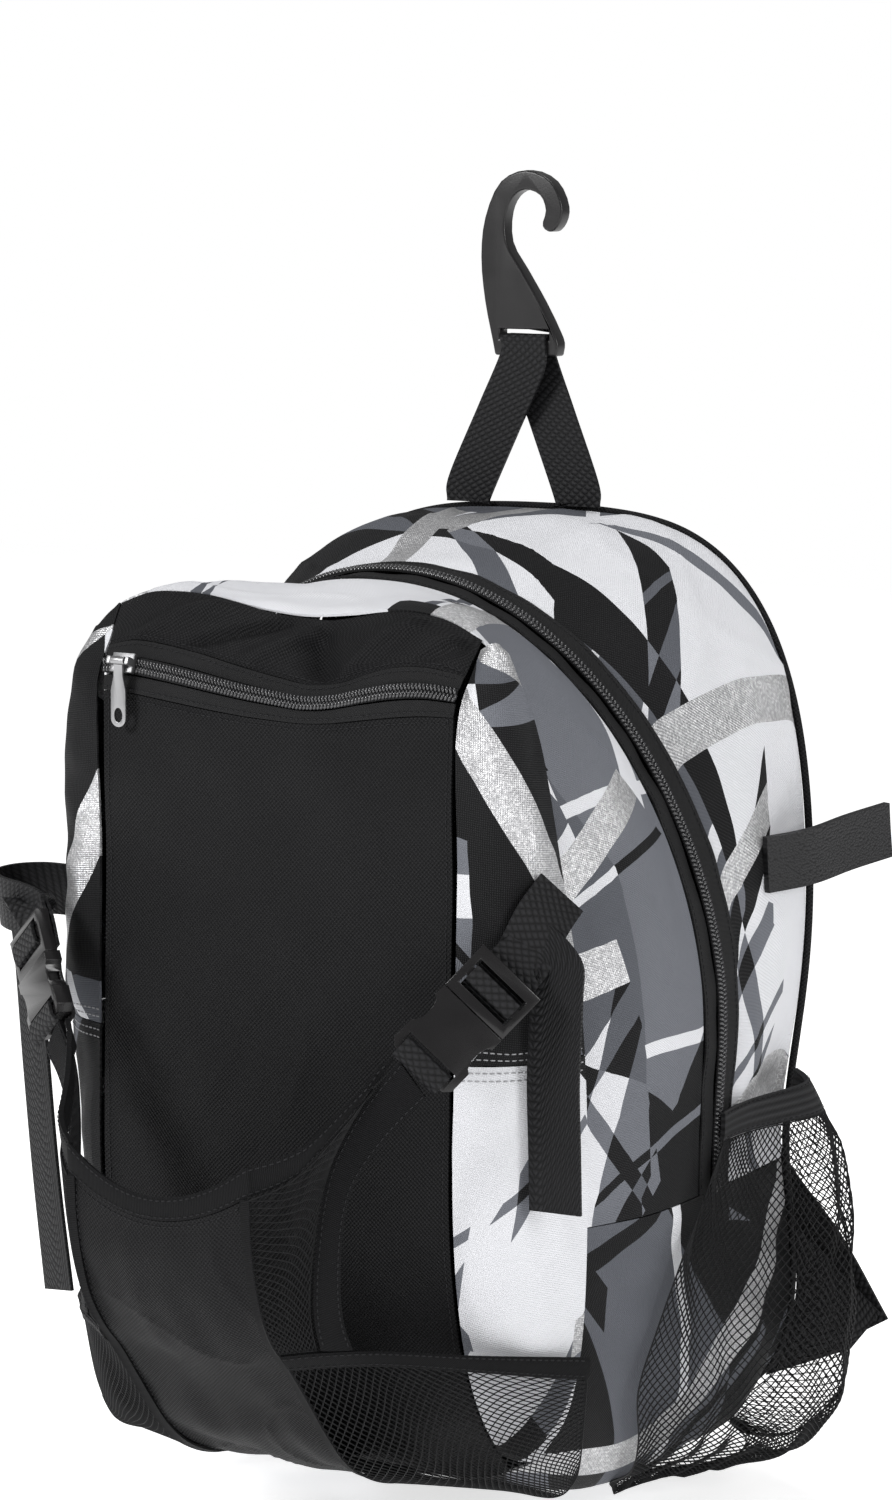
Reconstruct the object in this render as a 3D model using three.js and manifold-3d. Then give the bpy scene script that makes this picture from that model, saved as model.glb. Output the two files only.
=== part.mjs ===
// A child's baseball backpack, hung by the plastic fence hook on its top loop.
// The body is a D-shaped drum: a back panel, a gusset, an arched zip and a front panel,
// closed below by a boot. A zipped pocket stands on the front, a sling buckles over it, and
// a tall mesh pocket sits on each side.
// Millimetres. +Z is up, -Y is the front, +X is the viewer's right.
// The model is laid out with Z 0 at the bag's underside and the back seam at Y BACK_Y.
// The last lines move it so that the crown of the hook's mouth is the origin.
import * as THREE from "three";
import { mergeVertices } from "three/addons/utils/BufferGeometryUtils.js";
import Module from "manifold-3d";

const wasm = await Module();
wasm.setup();

// Driving dimensions of the body
const BAG_HEIGHT = 440;
const BAG_WIDTH = 304;
const BODY_DEPTH = 180;
const BACK_Y = 92;
const BOOT_HEIGHT = 138;
const CLOTH = 1.5;
const BACK_PAD = 3;
const SEAM_GAP = 0.5;
const SEAT_GAP = 0.9;

// Front pocket
const POCKET_DEPTH = 50;
const FACE_WIDTH = 186;
const FACE_DOME = 5;
const POCKET_ZIP_HEIGHT = 376;
const POCKET_SIDE_BULGE = 18;
const POCKET_SEAM_HEIGHT = 216;
const TOP_DENT = 7;
const ZIP_SAG = 7;
const CORNER_GAP = 1.1;
const DRUM_GAP = 0.4;
const SIDE_START = 0.045;
const LINING_INSET = 5;
const BACK_INSET = 3.9;
const PIPING_RADIUS = 1.9;

// Zips
const ZIP_CHAIN_WIDTH = 6;
const ZIP_CHAIN_PROUD = 2;
const ZIP_TAPE_WIDTH = 11;
const POCKET_TAPE_WIDTH = 6;
const SLIDER_LENGTH = 12;
const SLIDER_WIDTH = 9;
const SLIDER_HEIGHT = 4;
const PULL_LENGTH = 30;
const PULL_WIDTH = 8;
const PULL_THICKNESS = 1.4;
const PULL_HOLE = 4.4;
const PIN_RADIUS = 0.8;
const PIN_CLEARANCE = 0.4;
const SLIDER_PLATE = 2.4;
const BARREL_RADIUS = 1.9;
const LUG = 2;
const SLIDER_FROM_SEAM = 7;

// Front sling
const SLING_PANEL_WIDTH = 92;
const SLING_REACH = 108;
const SLING_RIM_HEIGHT = 182;
const SLING_CORNER_HEIGHT = 97;
const SLING_DOME = 4;
const SLING_ROOT = 30;
const SLING_DIP = 17;
const TAB_LENGTH = 2.5;
const MESH = 1.2;
const BINDING_WIDTH = 13;
const BINDING = 2.2;

// Webbing and buckles
const WEBBING_WIDTH = 25;
const WEBBING = 1.6;
const BUCKLE_WIDTH = 34;
const BUCKLE_THICKNESS = 8;
const BUCKLE_SLOT = 4.4;
const BUCKLE_GAP = 0.4;
const BAR = 4.6;

// Side pockets
const SIDE_POCKET_HEIGHT = 176;
const SIDE_POCKET_BULGE = 38;
const POCKET_STAND = 2.7;
const HEM_RISE = 7;
const HEM_WIDTH = 14;
const HEM = 2.4;

// Hook and its loop
const HOOK_HEIGHT = 88;
const HOOK_ACROSS = -4.6;
const HOOK_THICKNESS = 8;
const HOOK_BAR = 8;
const HOOK_SLOT = 4.5;
const LOOP_SPREAD = 59.5;
const LOOP_SHIFT = -2.7;
const HOOK_SETBACK = 2;
const HOOK_RISE = 150;
const LOOP_FOOT = 0.9;

// Harness on the back
const STRAP_WIDTH = 58;
const STRAP_PAD = 9;
const STRAP_ARCH = 46;
const BAT_STRAP_WIDTH = 26;
const BAT_STRAP = 4.5;
const ADJUSTER_THICKNESS = 5;
const TAB_TOP = 0.24;
const TAB_FOOT = 0.07;
const TAB_INSET = 1;
const TAB_OFF = 2.6;

// Sections of the drum from the back seam to the pocket's seam. Widths are shares of half
// of BAG_WIDTH, tops and floors are shares of BAG_HEIGHT, and depths are shares of
// BODY_DEPTH from the back: side at mid height, crown at the top, base at the bottom.
// shoulder and corner are the exponents of the rounded corners above and below.
// waist is how far the side pocket's elastic pulls the width in.
const SECTIONS = [
  {
    width: 0.97, top: 1.0, shoulder: 3.4, floor: 0.02, corner: 5, side: 0, crown: 0, base: 0,
    waist: 0.085
  },
  {
    width: 0.99, top: 0.995, shoulder: 3.0, floor: 0.006, corner: 6, side: 0.22, crown: 0.3,
    base: 0.24, waist: 0.08
  },
  {
    width: 0.955, top: 0.953, shoulder: 2.1, floor: 0.004, corner: 7, side: 0.435, crown: 0.71,
    base: 0.52, waist: 0.03
  },
  {
    width: 0.955, top: 0.95, shoulder: 2.7, floor: 0.008, corner: 5.5, side: 0.75, crown: 0.92,
    base: 0.78, waist: 0.02
  },
  {
    width: 0.862, top: 0.938, shoulder: 4.3, floor: 0.034, corner: 5.2, side: 0.975, crown: 1.13,
    base: 0.99, waist: 0
  },
];
const ZIP_SECTION = 2;
const SEAM_SECTION = SECTIONS.length - 1;
const MID_HEIGHT = 0.477;
const WAIST_HEIGHT = 0.34;
const WAIST_REACH = 0.14;
const PINCH = 0.07;
const PINCH_HEIGHT = 0.73;
const PINCH_REACH = 0.18;

// The black face's side seam: reach in shares of POCKET_DEPTH at heights in shares of BAG_HEIGHT.
const FACE_PROFILE = [
  { height: 0.03, reach: 0.1 },
  { height: 0.14, reach: 0.68 },
  { height: 0.23, reach: 0.96 },
  { height: 0.34, reach: 1.08 },
  { height: 0.46, reach: 1.07 },
  { height: 0.68, reach: 1.02 },
  { height: 0.84, reach: 0.99 },
  { height: 0.905, reach: 0.8 },
  { height: 0.94, reach: 0.42 },
];

// The sling's middle panel from its seam at the bottom to its rim: reach in shares of
// SLING_REACH in front of the sling's root, height in shares of SLING_RIM_HEIGHT.
const SLING_PROFILE = [
  { height: 0.093, reach: -0.257 },
  { height: 0.104, reach: -0.056 },
  { height: 0.14, reach: 0.13 },
  { height: 0.203, reach: 0.306 },
  { height: 0.33, reach: 0.5 },
  { height: 0.451, reach: 0.657 },
  { height: 0.597, reach: 0.87 },
  { height: 0.78, reach: 0.972 },
  { height: 1, reach: 1 },
];

// Edges of the sling beyond its middle panel, on the right: across in shares of half of
// FACE_WIDTH, rise in shares of SLING_RIM_HEIGHT, reach in shares of SLING_REACH.
// The rim runs from the middle panel to the buckle; its last step is the tip's short end.
const RIM = [
  { across: 0.495, rise: 1, reach: 1 },
  { across: 0.687, rise: 1.041, reach: 0.852 },
  { across: 0.772, rise: 1.105, reach: 0.713 },
  { across: 0.856, rise: 1.174, reach: 0.593 },
  { across: 0.935, rise: 1.236, reach: 0.509 },
  { across: 1.075, rise: 1.143, reach: 0.454 },
];
// The side opening's edge runs from its lower corner up to the buckle.
const SIDE_EDGE = [
  { across: 0.763, rise: 0.533, reach: 0.583 },
  { across: 0.737, rise: 0.604, reach: 0.62 },
  { across: 0.742, rise: 0.692, reach: 0.648 },
  { across: 0.76, rise: 0.808, reach: 0.657 },
  { across: 0.778, rise: 0.907, reach: 0.63 },
  { across: 0.841, rise: 0.989, reach: 0.574 },
  { across: 0.946, rise: 1.071, reach: 0.5 },
  { across: 1.075, rise: 1.143, reach: 0.454 },
];
// The lower edge runs from that corner back to the pocket's seam.
const LOWER_EDGE = [
  { across: 0.495, rise: 0.533, reach: 0.778 },
  { across: 0.624, rise: 0.538, reach: 0.685 },
  { across: 0.763, rise: 0.538, reach: 0.583 },
  { across: 0.914, rise: 0.522, reach: 0.407 },
  { across: 1.151, rise: 0.495, reach: 0.148 },
  { across: 1.446, rise: 0.456, reach: -0.269 },
];
// The bottom edge of the lower mesh, from the middle panel to the pocket's seam.
const BOTTOM_EDGE = [
  { across: 0.495, rise: 0.093, reach: -0.25 },
  { across: 1.032, rise: 0.093, reach: -0.259 },
  { across: 1.29, rise: 0.099, reach: -0.269 },
  { across: 1.387, rise: 0.148, reach: -0.278 },
];

// The side pocket from its floor to under its hem: height in shares of SIDE_POCKET_HEIGHT,
// front is the front seam's place from the bag's middle depth in shares of BODY_DEPTH,
// out is the swell beyond the waist in shares of SIDE_POCKET_BULGE, lift is the front
// seam's stand-off in shares of the same.
const SIDE_POCKET = [
  { height: -0.012, front: 0.13, out: -0.32, lift: 0 },
  { height: 0.012, front: 0.14, out: 0.1, lift: 0 },
  { height: 0.04, front: 0.175, out: 0.5, lift: 0.05 },
  { height: 0.1, front: 0.24, out: 0.86, lift: 0.1 },
  { height: 0.2, front: 0.3, out: 1.12, lift: 0.14 },
  { height: 0.35, front: 0.348, out: 1.26, lift: 0.14 },
  { height: 0.5, front: 0.293, out: 1.26, lift: 0.08 },
  { height: 0.66, front: 0.175, out: 1.18, lift: 0.03 },
  { height: 0.8, front: 0.04, out: 1, lift: 0.03 },
  { height: 0.915, front: -0.056, out: 0.66, lift: 0.03 },
];

// The hook's outline: x and z in shares of HOOK_HEIGHT from the crown of its mouth, round
// from the foot's left corner over the top and through the mouth to its right corner.
const HOOK_OUTLINE = [
  { x: -0.185, z: -0.89 },
  { x: -0.2, z: -0.82 },
  { x: -0.25, z: -0.6 },
  { x: -0.275, z: -0.36 },
  { x: -0.25, z: -0.15 },
  { x: -0.15, z: 0.045 },
  { x: 0.01, z: 0.105 },
  { x: 0.165, z: 0.045 },
  { x: 0.235, z: -0.09 },
  { x: 0.22, z: -0.175 },
  { x: 0.165, z: -0.225 },
  { x: 0.11, z: -0.195 },
  { x: 0.13, z: -0.11 },
  { x: 0.095, z: -0.03 },
  { x: 0, z: 0 },
  { x: -0.07, z: -0.035 },
  { x: -0.115, z: -0.12 },
  { x: -0.115, z: -0.28 },
  { x: -0.018, z: -0.43 },
  { x: 0.095, z: -0.6 },
  { x: 0.175, z: -0.74 },
  { x: 0.21, z: -0.82 },
  { x: 0.2, z: -0.89 },
];

// The right buckle between the sling's tip and the strap, and the left one, which hangs
// slack: across in shares of half of FACE_WIDTH, rise in shares of BAG_HEIGHT, reach in
// shares of SLING_REACH; from and to are its ends.
const BUCKLES = {
  right: {
    from: { across: 1.027, rise: 0.5, reach: 0.456 },
    to: { across: 1.342, rise: 0.592, reach: 0.188 },
    face: new THREE.Vector3(0.584, -0.76, 0.284),
  },
  left: {
    from: { across: -1.059, rise: 0.498, reach: 0.444 },
    to: { across: -1.333, rise: 0.591, reach: 0.296 },
    face: new THREE.Vector3(-0.52, -0.85, 0.08),
  },
};

// Webbing between the pocket's seam and the buckle, and the loose tail below it: across in
// shares of half of FACE_WIDTH, reach in shares of SLING_REACH, rise in shares of
// BAG_HEIGHT; lean, turn and drop are the way its width points.
const STRAPS = {
  right: [
    { across: 1.433, reach: -0.062, rise: 0.6632, lean: 0.5, turn: 0.35, drop: -0.79 },
    { across: 1.409, reach: 0.056, rise: 0.6386, lean: 0.6, turn: 0.3, drop: -0.74 },
  ],
  left: [
    { across: -1.473, reach: -0.204, rise: 0.6091, lean: 0.1, turn: 0.2, drop: -0.97 },
    { across: -1.645, reach: -0.194, rise: 0.6091, lean: 0.1, turn: 0.2, drop: -0.97 },
    { across: -1.785, reach: -0.139, rise: 0.6068, lean: 0.05, turn: 0.3, drop: -0.95 },
    { across: -1.785, reach: -0.019, rise: 0.6045, lean: -0.1, turn: 0.4, drop: -0.9 },
    { across: -1.634, reach: 0.12, rise: 0.6045, lean: -0.5, turn: 0.45, drop: -0.74 },
  ],
};
const TAILS = {
  right: [
    { across: 1.409, reach: 0.074, rise: 0.6102, lean: 0.7, turn: 0.27, drop: -0.66 },
    { across: 1.484, reach: 0.056, rise: 0.5955, lean: 0.95, turn: 0.1, drop: -0.3 },
    { across: 1.489, reach: 0.056, rise: 0.5636, lean: 0.99, turn: 0.05, drop: -0.05 },
    { across: 1.473, reach: 0.056, rise: 0.4841, lean: 0.99, turn: 0.05, drop: 0 },
    { across: 1.468, reach: 0.037, rise: 0.4091, lean: 0.99, turn: 0.05, drop: 0 },
    { across: 1.468, reach: 0.028, rise: 0.3484, lean: 0.99, turn: 0.05, drop: 0 },
  ],
  left: [
    { across: -1.441, reach: 0.167, rise: 0.6114, lean: 0.8, turn: -0.3, drop: 0.5 },
    { across: -1.495, reach: 0.12, rise: 0.5682, lean: 0.9, turn: -0.4, drop: 0.2 },
    { across: -1.452, reach: 0.111, rise: 0.4318, lean: 0.9, turn: -0.43, drop: 0 },
    { across: -1.398, reach: 0.111, rise: 0.3136, lean: 0.9, turn: -0.43, drop: 0 },
    { across: -1.312, reach: 0.13, rise: 0.2, lean: 0.9, turn: -0.4, drop: 0 },
  ],
};

// Bat straps from root to end: depth in front of the back in shares of BODY_DEPTH, height in
// shares of BAG_HEIGHT, off is the distance from the gusset.
const BAT_OPEN = [
  { depth: 0.27, height: 0.648, off: 2.9 },
  { depth: 0.14, height: 0.652, off: 12 },
  { depth: -0.02, height: 0.66, off: 20 },
  { depth: -0.17, height: 0.667, off: 27 },
];
const BAT_CLOSED = [
  { depth: 0.33, height: 0.648, off: 3.4 },
  { depth: 0.23, height: 0.648, off: 3.4 },
  { depth: 0.13, height: 0.648, off: 3.8 },
  { depth: 0.03, height: 0.648, off: 4.6 },
];

// The harness: across in shares of half of BAG_WIDTH, off the back panel in shares of
// STRAP_ARCH, height in shares of BAG_HEIGHT; turn and drop lean the strap's width.
const SHOULDER = [
  { across: 0.31, off: 0.118, height: 0.945 },
  { across: 0.33, off: 0.5, height: 0.95 },
  { across: 0.37, off: 0.95, height: 0.9 },
  { across: 0.42, off: 1.22, height: 0.8 },
  { across: 0.48, off: 1.18, height: 0.67 },
  { across: 0.54, off: 0.9, height: 0.54 },
  { across: 0.58, off: 0.6, height: 0.44 },
];
const ADJUSTER = [
  { across: 0.581, off: 0.588, height: 0.4365 },
  { across: 0.608, off: 0.488, height: 0.3848 },
];
const LOWER_WEBBING = [
  { across: 0.618, off: 0.465, height: 0.373 },
  { across: 0.76, off: 0.34, height: 0.29 },
  { across: 0.96, off: 0.36, height: 0.21 },
  { across: 1.11, off: 0.42, height: 0.125, turn: 0, drop: 1.2 },
];

const CLOTH_BLACK = { color: 0x1b1b1d, roughness: 0.85, metalness: 0 };
const CLOTH_PRINT = { color: 0x8b8c93, roughness: 0.7, metalness: 0 };
const MESH_BLACK = { color: 0x141416, roughness: 0.8, metalness: 0 };
const WEB_BLACK = { color: 0x18181a, roughness: 0.8, metalness: 0 };
const ZIP_BLACK = { color: 0x121214, roughness: 0.5, metalness: 0 };
const PLASTIC = { color: 0x232226, roughness: 0.42, metalness: 0 };
const NICKEL = { color: 0xc9c9cc, roughness: 0.25, metalness: 1 };

// The slack upper left corner of the front: where it is and how far it is pushed out, in mm
// from the middle of the bag, and how far that reaches.
const SLACK = { x: -104, y: -106, z: 402, across: 9, rise: 7, reachX: 50, reachY: 60, reachZ: 26 };

const ARCH_STEPS = 30;
const BOOT_STEPS = 16;
const group = new THREE.Group();

const V = (x, y, z) => new THREE.Vector3(x, y, z);
const mix = (a, b, t) => a + (b - a) * t;
const bell = (x, centre, reach) => Math.exp(-(((x - centre) / reach) ** 2));
const span = (from, to, steps) => Array.from({ length: steps + 1 }, (_, i) => mix(from, to, i / steps));

// A smooth value at x through rows of a table, by cubic pieces with averaged slopes.
function smooth(rows, xKey, yKey, x) {
  const last = rows.length - 1;
  const at = THREE.MathUtils.clamp(x, rows[0][xKey], rows[last][xKey]);
  let i = 0;
  while (i < last - 1 && at > rows[i + 1][xKey]) i++;
  const slope = (a, b) => (rows[b][yKey] - rows[a][yKey]) / (rows[b][xKey] - rows[a][xKey]);
  const here = slope(i, i + 1);
  const m0 = i > 0 ? (slope(i - 1, i) + here) / 2 : here;
  const m1 = i < last - 1 ? (here + slope(i + 1, i + 2)) / 2 : here;
  const h = rows[i + 1][xKey] - rows[i][xKey];
  const t = (at - rows[i][xKey]) / h;
  return (
    rows[i][yKey] * (2 * t ** 3 - 3 * t * t + 1) +
    rows[i + 1][yKey] * (3 * t * t - 2 * t ** 3) +
    h * (m0 * (t ** 3 - 2 * t * t + t) + m1 * (t ** 3 - t * t))
  );
}

// A smooth value at t from 0 to 1 through evenly spaced rows.
function through(rows, key, t) {
  return smooth(rows.map((row, i) => ({ at: i / (rows.length - 1), v: row[key] })), "at", "v", t);
}

// Points at even distances along a line of points.
function evenly(points, steps) {
  const reach = [0];
  for (let i = 1; i < points.length; i++) reach.push(
    reach[i - 1] + points[i].distanceTo(points[i - 1])
  );
  const total = reach[reach.length - 1];
  let i = 0;
  return span(0, total, steps).map((d) => {
    while (i < points.length - 2 && d > reach[i + 1]) i++;
    return points[i].clone().lerp(points[i + 1], (d - reach[i]) / (reach[i + 1] - reach[i]));
  });
}

function slacken(p) {
  const g = bell(
    p.x, SLACK.x, SLACK.reachX
  ) * bell(p.y, SLACK.y, SLACK.reachY) * bell(p.z, SLACK.z, SLACK.reachZ);
  p.x -= SLACK.across * g;
  p.z += SLACK.rise * g;
  return p;
}

// Solids from grids of points
function closedGeometry(points, triangles) {
  let volume = 0;
  for (const [a, b, c] of triangles) volume += points[a].dot(points[b].clone().cross(points[c]));
  const index = volume < 0 ? triangles.map(([a, b, c]) => [a, c, b]) : triangles;
  return new THREE.BufferGeometry().setFromPoints(points).setIndex(index.flat());
}

// A wall of even thickness behind a grid of points grid[i][j]. The wall is measured against
// the cross product of the i and j directions, and proud lifts its outer face the other way.
function wallSolid(grid, wall, proud = 0) {
  const rows = grid.length;
  const cols = grid[0].length;
  const points = [];
  const inner = [];
  for (let i = 0; i < rows; i++)
    for (let j = 0; j < cols; j++) {
      const du = grid[Math.min(i + 1, rows - 1)][j].clone().sub(grid[Math.max(i - 1, 0)][j]);
      const dv = grid[i][Math.min(j + 1, cols - 1)].clone().sub(grid[i][Math.max(j - 1, 0)]);
      const out = du.cross(dv).normalize();
      points.push(slacken(grid[i][j].clone().addScaledVector(out, proud)));
      inner.push(slacken(grid[i][j].clone().addScaledVector(out, -wall)));
    }
  const n = points.length;
  const id = (i, j) => i * cols + j;
  const triangles = [];
  for (let i = 0; i < rows - 1; i++)
    for (let j = 0; j < cols - 1; j++) {
      const [a, b, c, d] = [id(i, j), id(i + 1, j), id(i + 1, j + 1), id(i, j + 1)];
      triangles.push([a, b, c], [a, c, d], [a + n, c + n, b + n], [a + n, d + n, c + n]);
    }
  const rim = [];
  for (let j = 0; j < cols - 1; j++) rim.push(id(0, j));
  for (let i = 0; i < rows - 1; i++) rim.push(id(i, cols - 1));
  for (let j = cols - 1; j > 0; j--) rim.push(id(rows - 1, j));
  for (let i = rows - 1; i > 0; i--) rim.push(id(i, 0));
  rim.forEach((a, k) => {
    const b = rim[(k + 1) % rim.length];
    triangles.push([a, b, b + n], [a, b + n, a + n]);
  });
  return closedGeometry([...points, ...inner], triangles);
}

// A band along stations, each with a point and the way its width points. Its section is
// a ring of corners in shares of half the width and half the thickness.
const FLAT_RING = [[-1, -1], [1, -1], [1, 1], [-1, 1]];
const PAD_RING = [
  [-1, -0.35],
  [-0.82, -1],
  [0.82, -1],
  [1, -0.35],
  [1, 0.35],
  [0.82, 1],
  [-0.82, 1],
  [-1, 0.35]
];
function band(stations, width, thickness, ring = FLAT_RING) {
  const points = [];
  let last = stations[0].across;
  stations.forEach(({ at, across }, i) => {
    const before = stations[Math.max(i - 1, 0)].at;
    const after = stations[Math.min(i + 1, stations.length - 1)].at;
    const along = after.clone().sub(before).normalize();
    const wideways = across.clone().addScaledVector(along, -along.dot(across)).normalize();
    if (wideways.dot(last) < 0) wideways.negate();
    last = wideways;
    const out = wideways.clone().cross(along).normalize();
    for (const [a, b] of ring)
      points.push(
        at.clone().addScaledVector(wideways, (a * width) / 2).addScaledVector(out, (b * thickness) / 2)
      );
  });
  const n = ring.length;
  const e = n * (stations.length - 1);
  const triangles = [];
  for (let k = 1; k < n - 1; k++) triangles.push([0, k + 1, k], [e, e + k, e + k + 1]);
  for (let i = 0; i < stations.length - 1; i++)
    for (let k = 0; k < n; k++) {
      const [a, b] = [n * i + k, n * i + ((k + 1) % n)];
      triangles.push([a, b, b + n], [a, b + n, a + n]);
    }
  return closedGeometry(points, triangles);
}

// Stations at even steps on a smooth path through hand-set ones.
function smoothBand(rows, steps) {
  const curve = new THREE.CatmullRomCurve3(rows.map((r) => r.at), false, "centripetal");
  return span(0, 1, steps).map((t) => {
    const k = Math.min(Math.floor(t * (rows.length - 1)), rows.length - 2);
    const across = rows[k].across.clone().lerp(
      rows[k + 1].across,
      t * (rows.length - 1) - k
    ).normalize();
    return { at: curve.getPoint(t), across };
  });
}

// A round tube along a closed curve that lies in a plane facing the back.
function closedTube(curve, radius, steps, sides) {
  const points = [];
  const triangles = [];
  for (let i = 0; i < steps; i++) {
    const at = curve.getPointAt(i / steps);
    const out = curve.getTangentAt(i / steps).cross(V(0, 1, 0)).normalize();
    for (let k = 0; k < sides; k++) {
      const angle = (2 * Math.PI * k) / sides;
      points.push(
        at.clone().addScaledVector(out, radius * Math.cos(angle)).add(V(0, radius * Math.sin(angle), 0))
      );
      const [a, b] = [sides * i + k, sides * i + ((k + 1) % sides)];
      const [c, d] = [(a + sides) % (sides * steps), (b + sides) % (sides * steps)];
      triangles.push([a, b, d], [a, d, c]);
    }
  }
  return closedGeometry(points, triangles);
}

function solidOf(geometry) {
  const bare = geometry.clone();
  bare.deleteAttribute("normal");
  bare.deleteAttribute("uv");
  const merged = mergeVertices(bare, 1e-4);
  return new wasm.Manifold(
    new wasm.Mesh({
      numProp: 3,
      vertProperties: merged.attributes.position.array,
      triVerts: new Uint32Array(merged.index.array),
    }),
  );
}

function geometryOf(solid) {
  const mesh = solid.getMesh();
  return new THREE.BufferGeometry()
    .setAttribute("position", new THREE.BufferAttribute(mesh.vertProperties, 3))
    .setIndex(new THREE.BufferAttribute(mesh.triVerts, 1));
}

const joined = (list) => geometryOf(list.map(solidOf).reduce((a, b) => a.add(b)));
const cutFrom = (body, list) =>
  geometryOf(list.map(solidOf).reduce((a, b) => a.subtract(b), solidOf(body)));
const block = (x, y, z, at) => new THREE.BoxGeometry(x, y, z).translate(at.x, at.y, at.z);

function add(name, geometry, finish) {
  const flat = geometry.index ? geometry.toNonIndexed() : geometry;
  flat.computeVertexNormals();
  const mesh = new THREE.Mesh(flat, new THREE.MeshStandardMaterial(finish));
  mesh.name = name;
  group.add(mesh);
  return mesh;
}
const bothSides = (make) => {
  make(1, "right");
  make(-1, "left");
};

// The drum's skin
const midZ = MID_HEIGHT * BAG_HEIGHT;

function sectionPoint(section, angle) {
  const [c, s] = [Math.cos(angle), Math.sin(angle)];
  const exponent = s > 0 ? section.shoulder : section.corner;
  const height = s > 0 ? section.top * BAG_HEIGHT - midZ : midZ - section.floor * BAG_HEIGHT;
  const z = midZ + Math.sign(s) * height * Math.abs(s) ** (2 / exponent);
  const waist = section.waist * bell(z, WAIST_HEIGHT * BAG_HEIGHT, WAIST_REACH * BAG_HEIGHT);
  const pinch = section.waist === 0 ? PINCH * bell(
    z, PINCH_HEIGHT * BAG_HEIGHT, PINCH_REACH * BAG_HEIGHT
  ) : 0;
  const half = (BAG_WIDTH / 2) * section.width * (1 - waist - pinch);
  const x = Math.sign(c) * half * Math.abs(c) ** (2 / exponent);
  const rise = (z - midZ) / height;
  const depth = rise > 0 ? mix(
    section.side, section.crown, rise ** 1.5
  ) : mix(section.side, section.base, (-rise) ** 4);
  return dented(V(x, BACK_Y - depth * BODY_DEPTH, z));
}

// The slack top front: a shallow dent behind the middle of the pocket's zip.
function dented(p) {
  const high = THREE.MathUtils.smoothstep(p.z, 0.86 * BAG_HEIGHT, 0.93 * BAG_HEIGHT);
  const near = bell(p.y, BACK_Y - 1.12 * BODY_DEPTH, 0.18 * BODY_DEPTH);
  p.z -= TOP_DENT * high * near * bell(p.x, 0.02 * BAG_WIDTH, 0.1 * BAG_WIDTH);
  return p;
}

// Each section as two runs of points: over the top from the right, and under from the left.
const runs = SECTIONS.map((section) => {
  const fine = span(-Math.PI / 2, Math.PI / 2, 400).map((a) => sectionPoint(section, a));
  const upper = fine.filter((p) => p.z >= BOOT_HEIGHT);
  const lower = fine.filter((p) => p.z < BOOT_HEIGHT);
  const seam = upper[0].clone().lerp(
    lower[lower.length - 1],
    (upper[0].z - BOOT_HEIGHT) / (upper[0].z - lower[lower.length - 1].z)
  );
  const flip = (list) => list.map((p) => V(-p.x, p.y, p.z)).reverse();
  const arch = [seam, ...upper];
  const boot = [...lower, seam];
  return {
    arch: evenly([...arch, ...flip(arch).slice(1)], ARCH_STEPS),
    boot: evenly([...flip(boot), ...boot.slice(1)], BOOT_STEPS)
  };
});

// A point of the skin: i counts steps along the run, v runs through the sections.
function skin(run, i, v) {
  const low = Math.min(Math.floor(i), runs[0][run].length - 2);
  const at = (k) => {
    const ring = runs[THREE.MathUtils.clamp(k, 0, SEAM_SECTION)][run];
    return ring[low].clone().lerp(ring[low + 1], i - low);
  };
  const k = THREE.MathUtils.clamp(Math.floor(v), 0, SEAM_SECTION - 1);
  const t = v - k;
  const [p0, p1, p2, p3] = [at(k - 1), at(k), at(k + 1), at(k + 2)];
  if (k === 0) p0.copy(p1).multiplyScalar(2).sub(p2);
  if (k + 2 > SEAM_SECTION) p3.copy(p2).multiplyScalar(2).sub(p1);
  const w = [
    -t + 2 * t * t - t ** 3, 2 - 5 * t * t + 3 * t ** 3, t + 4 * t * t - 3 * t ** 3, t ** 3 - t * t
  ];
  return V(0, 0, 0)
    .addScaledVector(p0, w[0] / 2)
    .addScaledVector(p1, w[1] / 2)
    .addScaledVector(p2, w[2] / 2)
    .addScaledVector(p3, w[3] / 2);
}

// The v that lies a distance in front of the arched zip's middle, or behind it if negative.
function besideZip(i, distance) {
  const next = ZIP_SECTION + Math.sign(distance);
  const gap = skin("arch", i, next).distanceTo(skin("arch", i, ZIP_SECTION));
  return ZIP_SECTION + distance / gap;
}
const archLength = runs[ZIP_SECTION].arch.reduce(
  (sum, p, i, all) => sum + (i ? p.distanceTo(all[i - 1]) : 0),
  0
);
const archTrim = (SEAM_GAP / archLength) * ARCH_STEPS;
const archSteps = span(archTrim, ARCH_STEPS - archTrim, ARCH_STEPS);

const chainHalf = ZIP_CHAIN_WIDTH / 2;
const tapeEdge = chainHalf + SEAM_GAP + ZIP_TAPE_WIDTH;
const depthTrim = SEAM_GAP / (BODY_DEPTH / SEAM_SECTION);

add(
  "gusset",
  wallSolid(
    archSteps.map((i) => span(0, besideZip(i, -tapeEdge - SEAM_GAP), 4).map((v) => skin("arch", i, v))),
    CLOTH
  ),
  CLOTH_PRINT
);
add(
  "front_panel",
  wallSolid(
    archSteps.map(
      (i) => span(
        besideZip(i, tapeEdge + SEAM_GAP),
        SEAM_SECTION - depthTrim,
        4
      ).map((v) => skin("arch", i, v))
    ),
    CLOTH
  ),
  CLOTH_PRINT
);
add(
  "zip_tape_rear",
  wallSolid(
    archSteps.map(
      (i) => [-tapeEdge, -chainHalf - SEAM_GAP].map((d) => skin("arch", i, besideZip(i, d)))
    ),
    CLOTH
  ),
  ZIP_BLACK
);
add(
  "zip_tape_front",
  wallSolid(
    archSteps.map((i) => [chainHalf + SEAM_GAP, tapeEdge].map((d) => skin("arch", i, besideZip(i, d)))),
    CLOTH
  ),
  ZIP_BLACK
);

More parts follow.
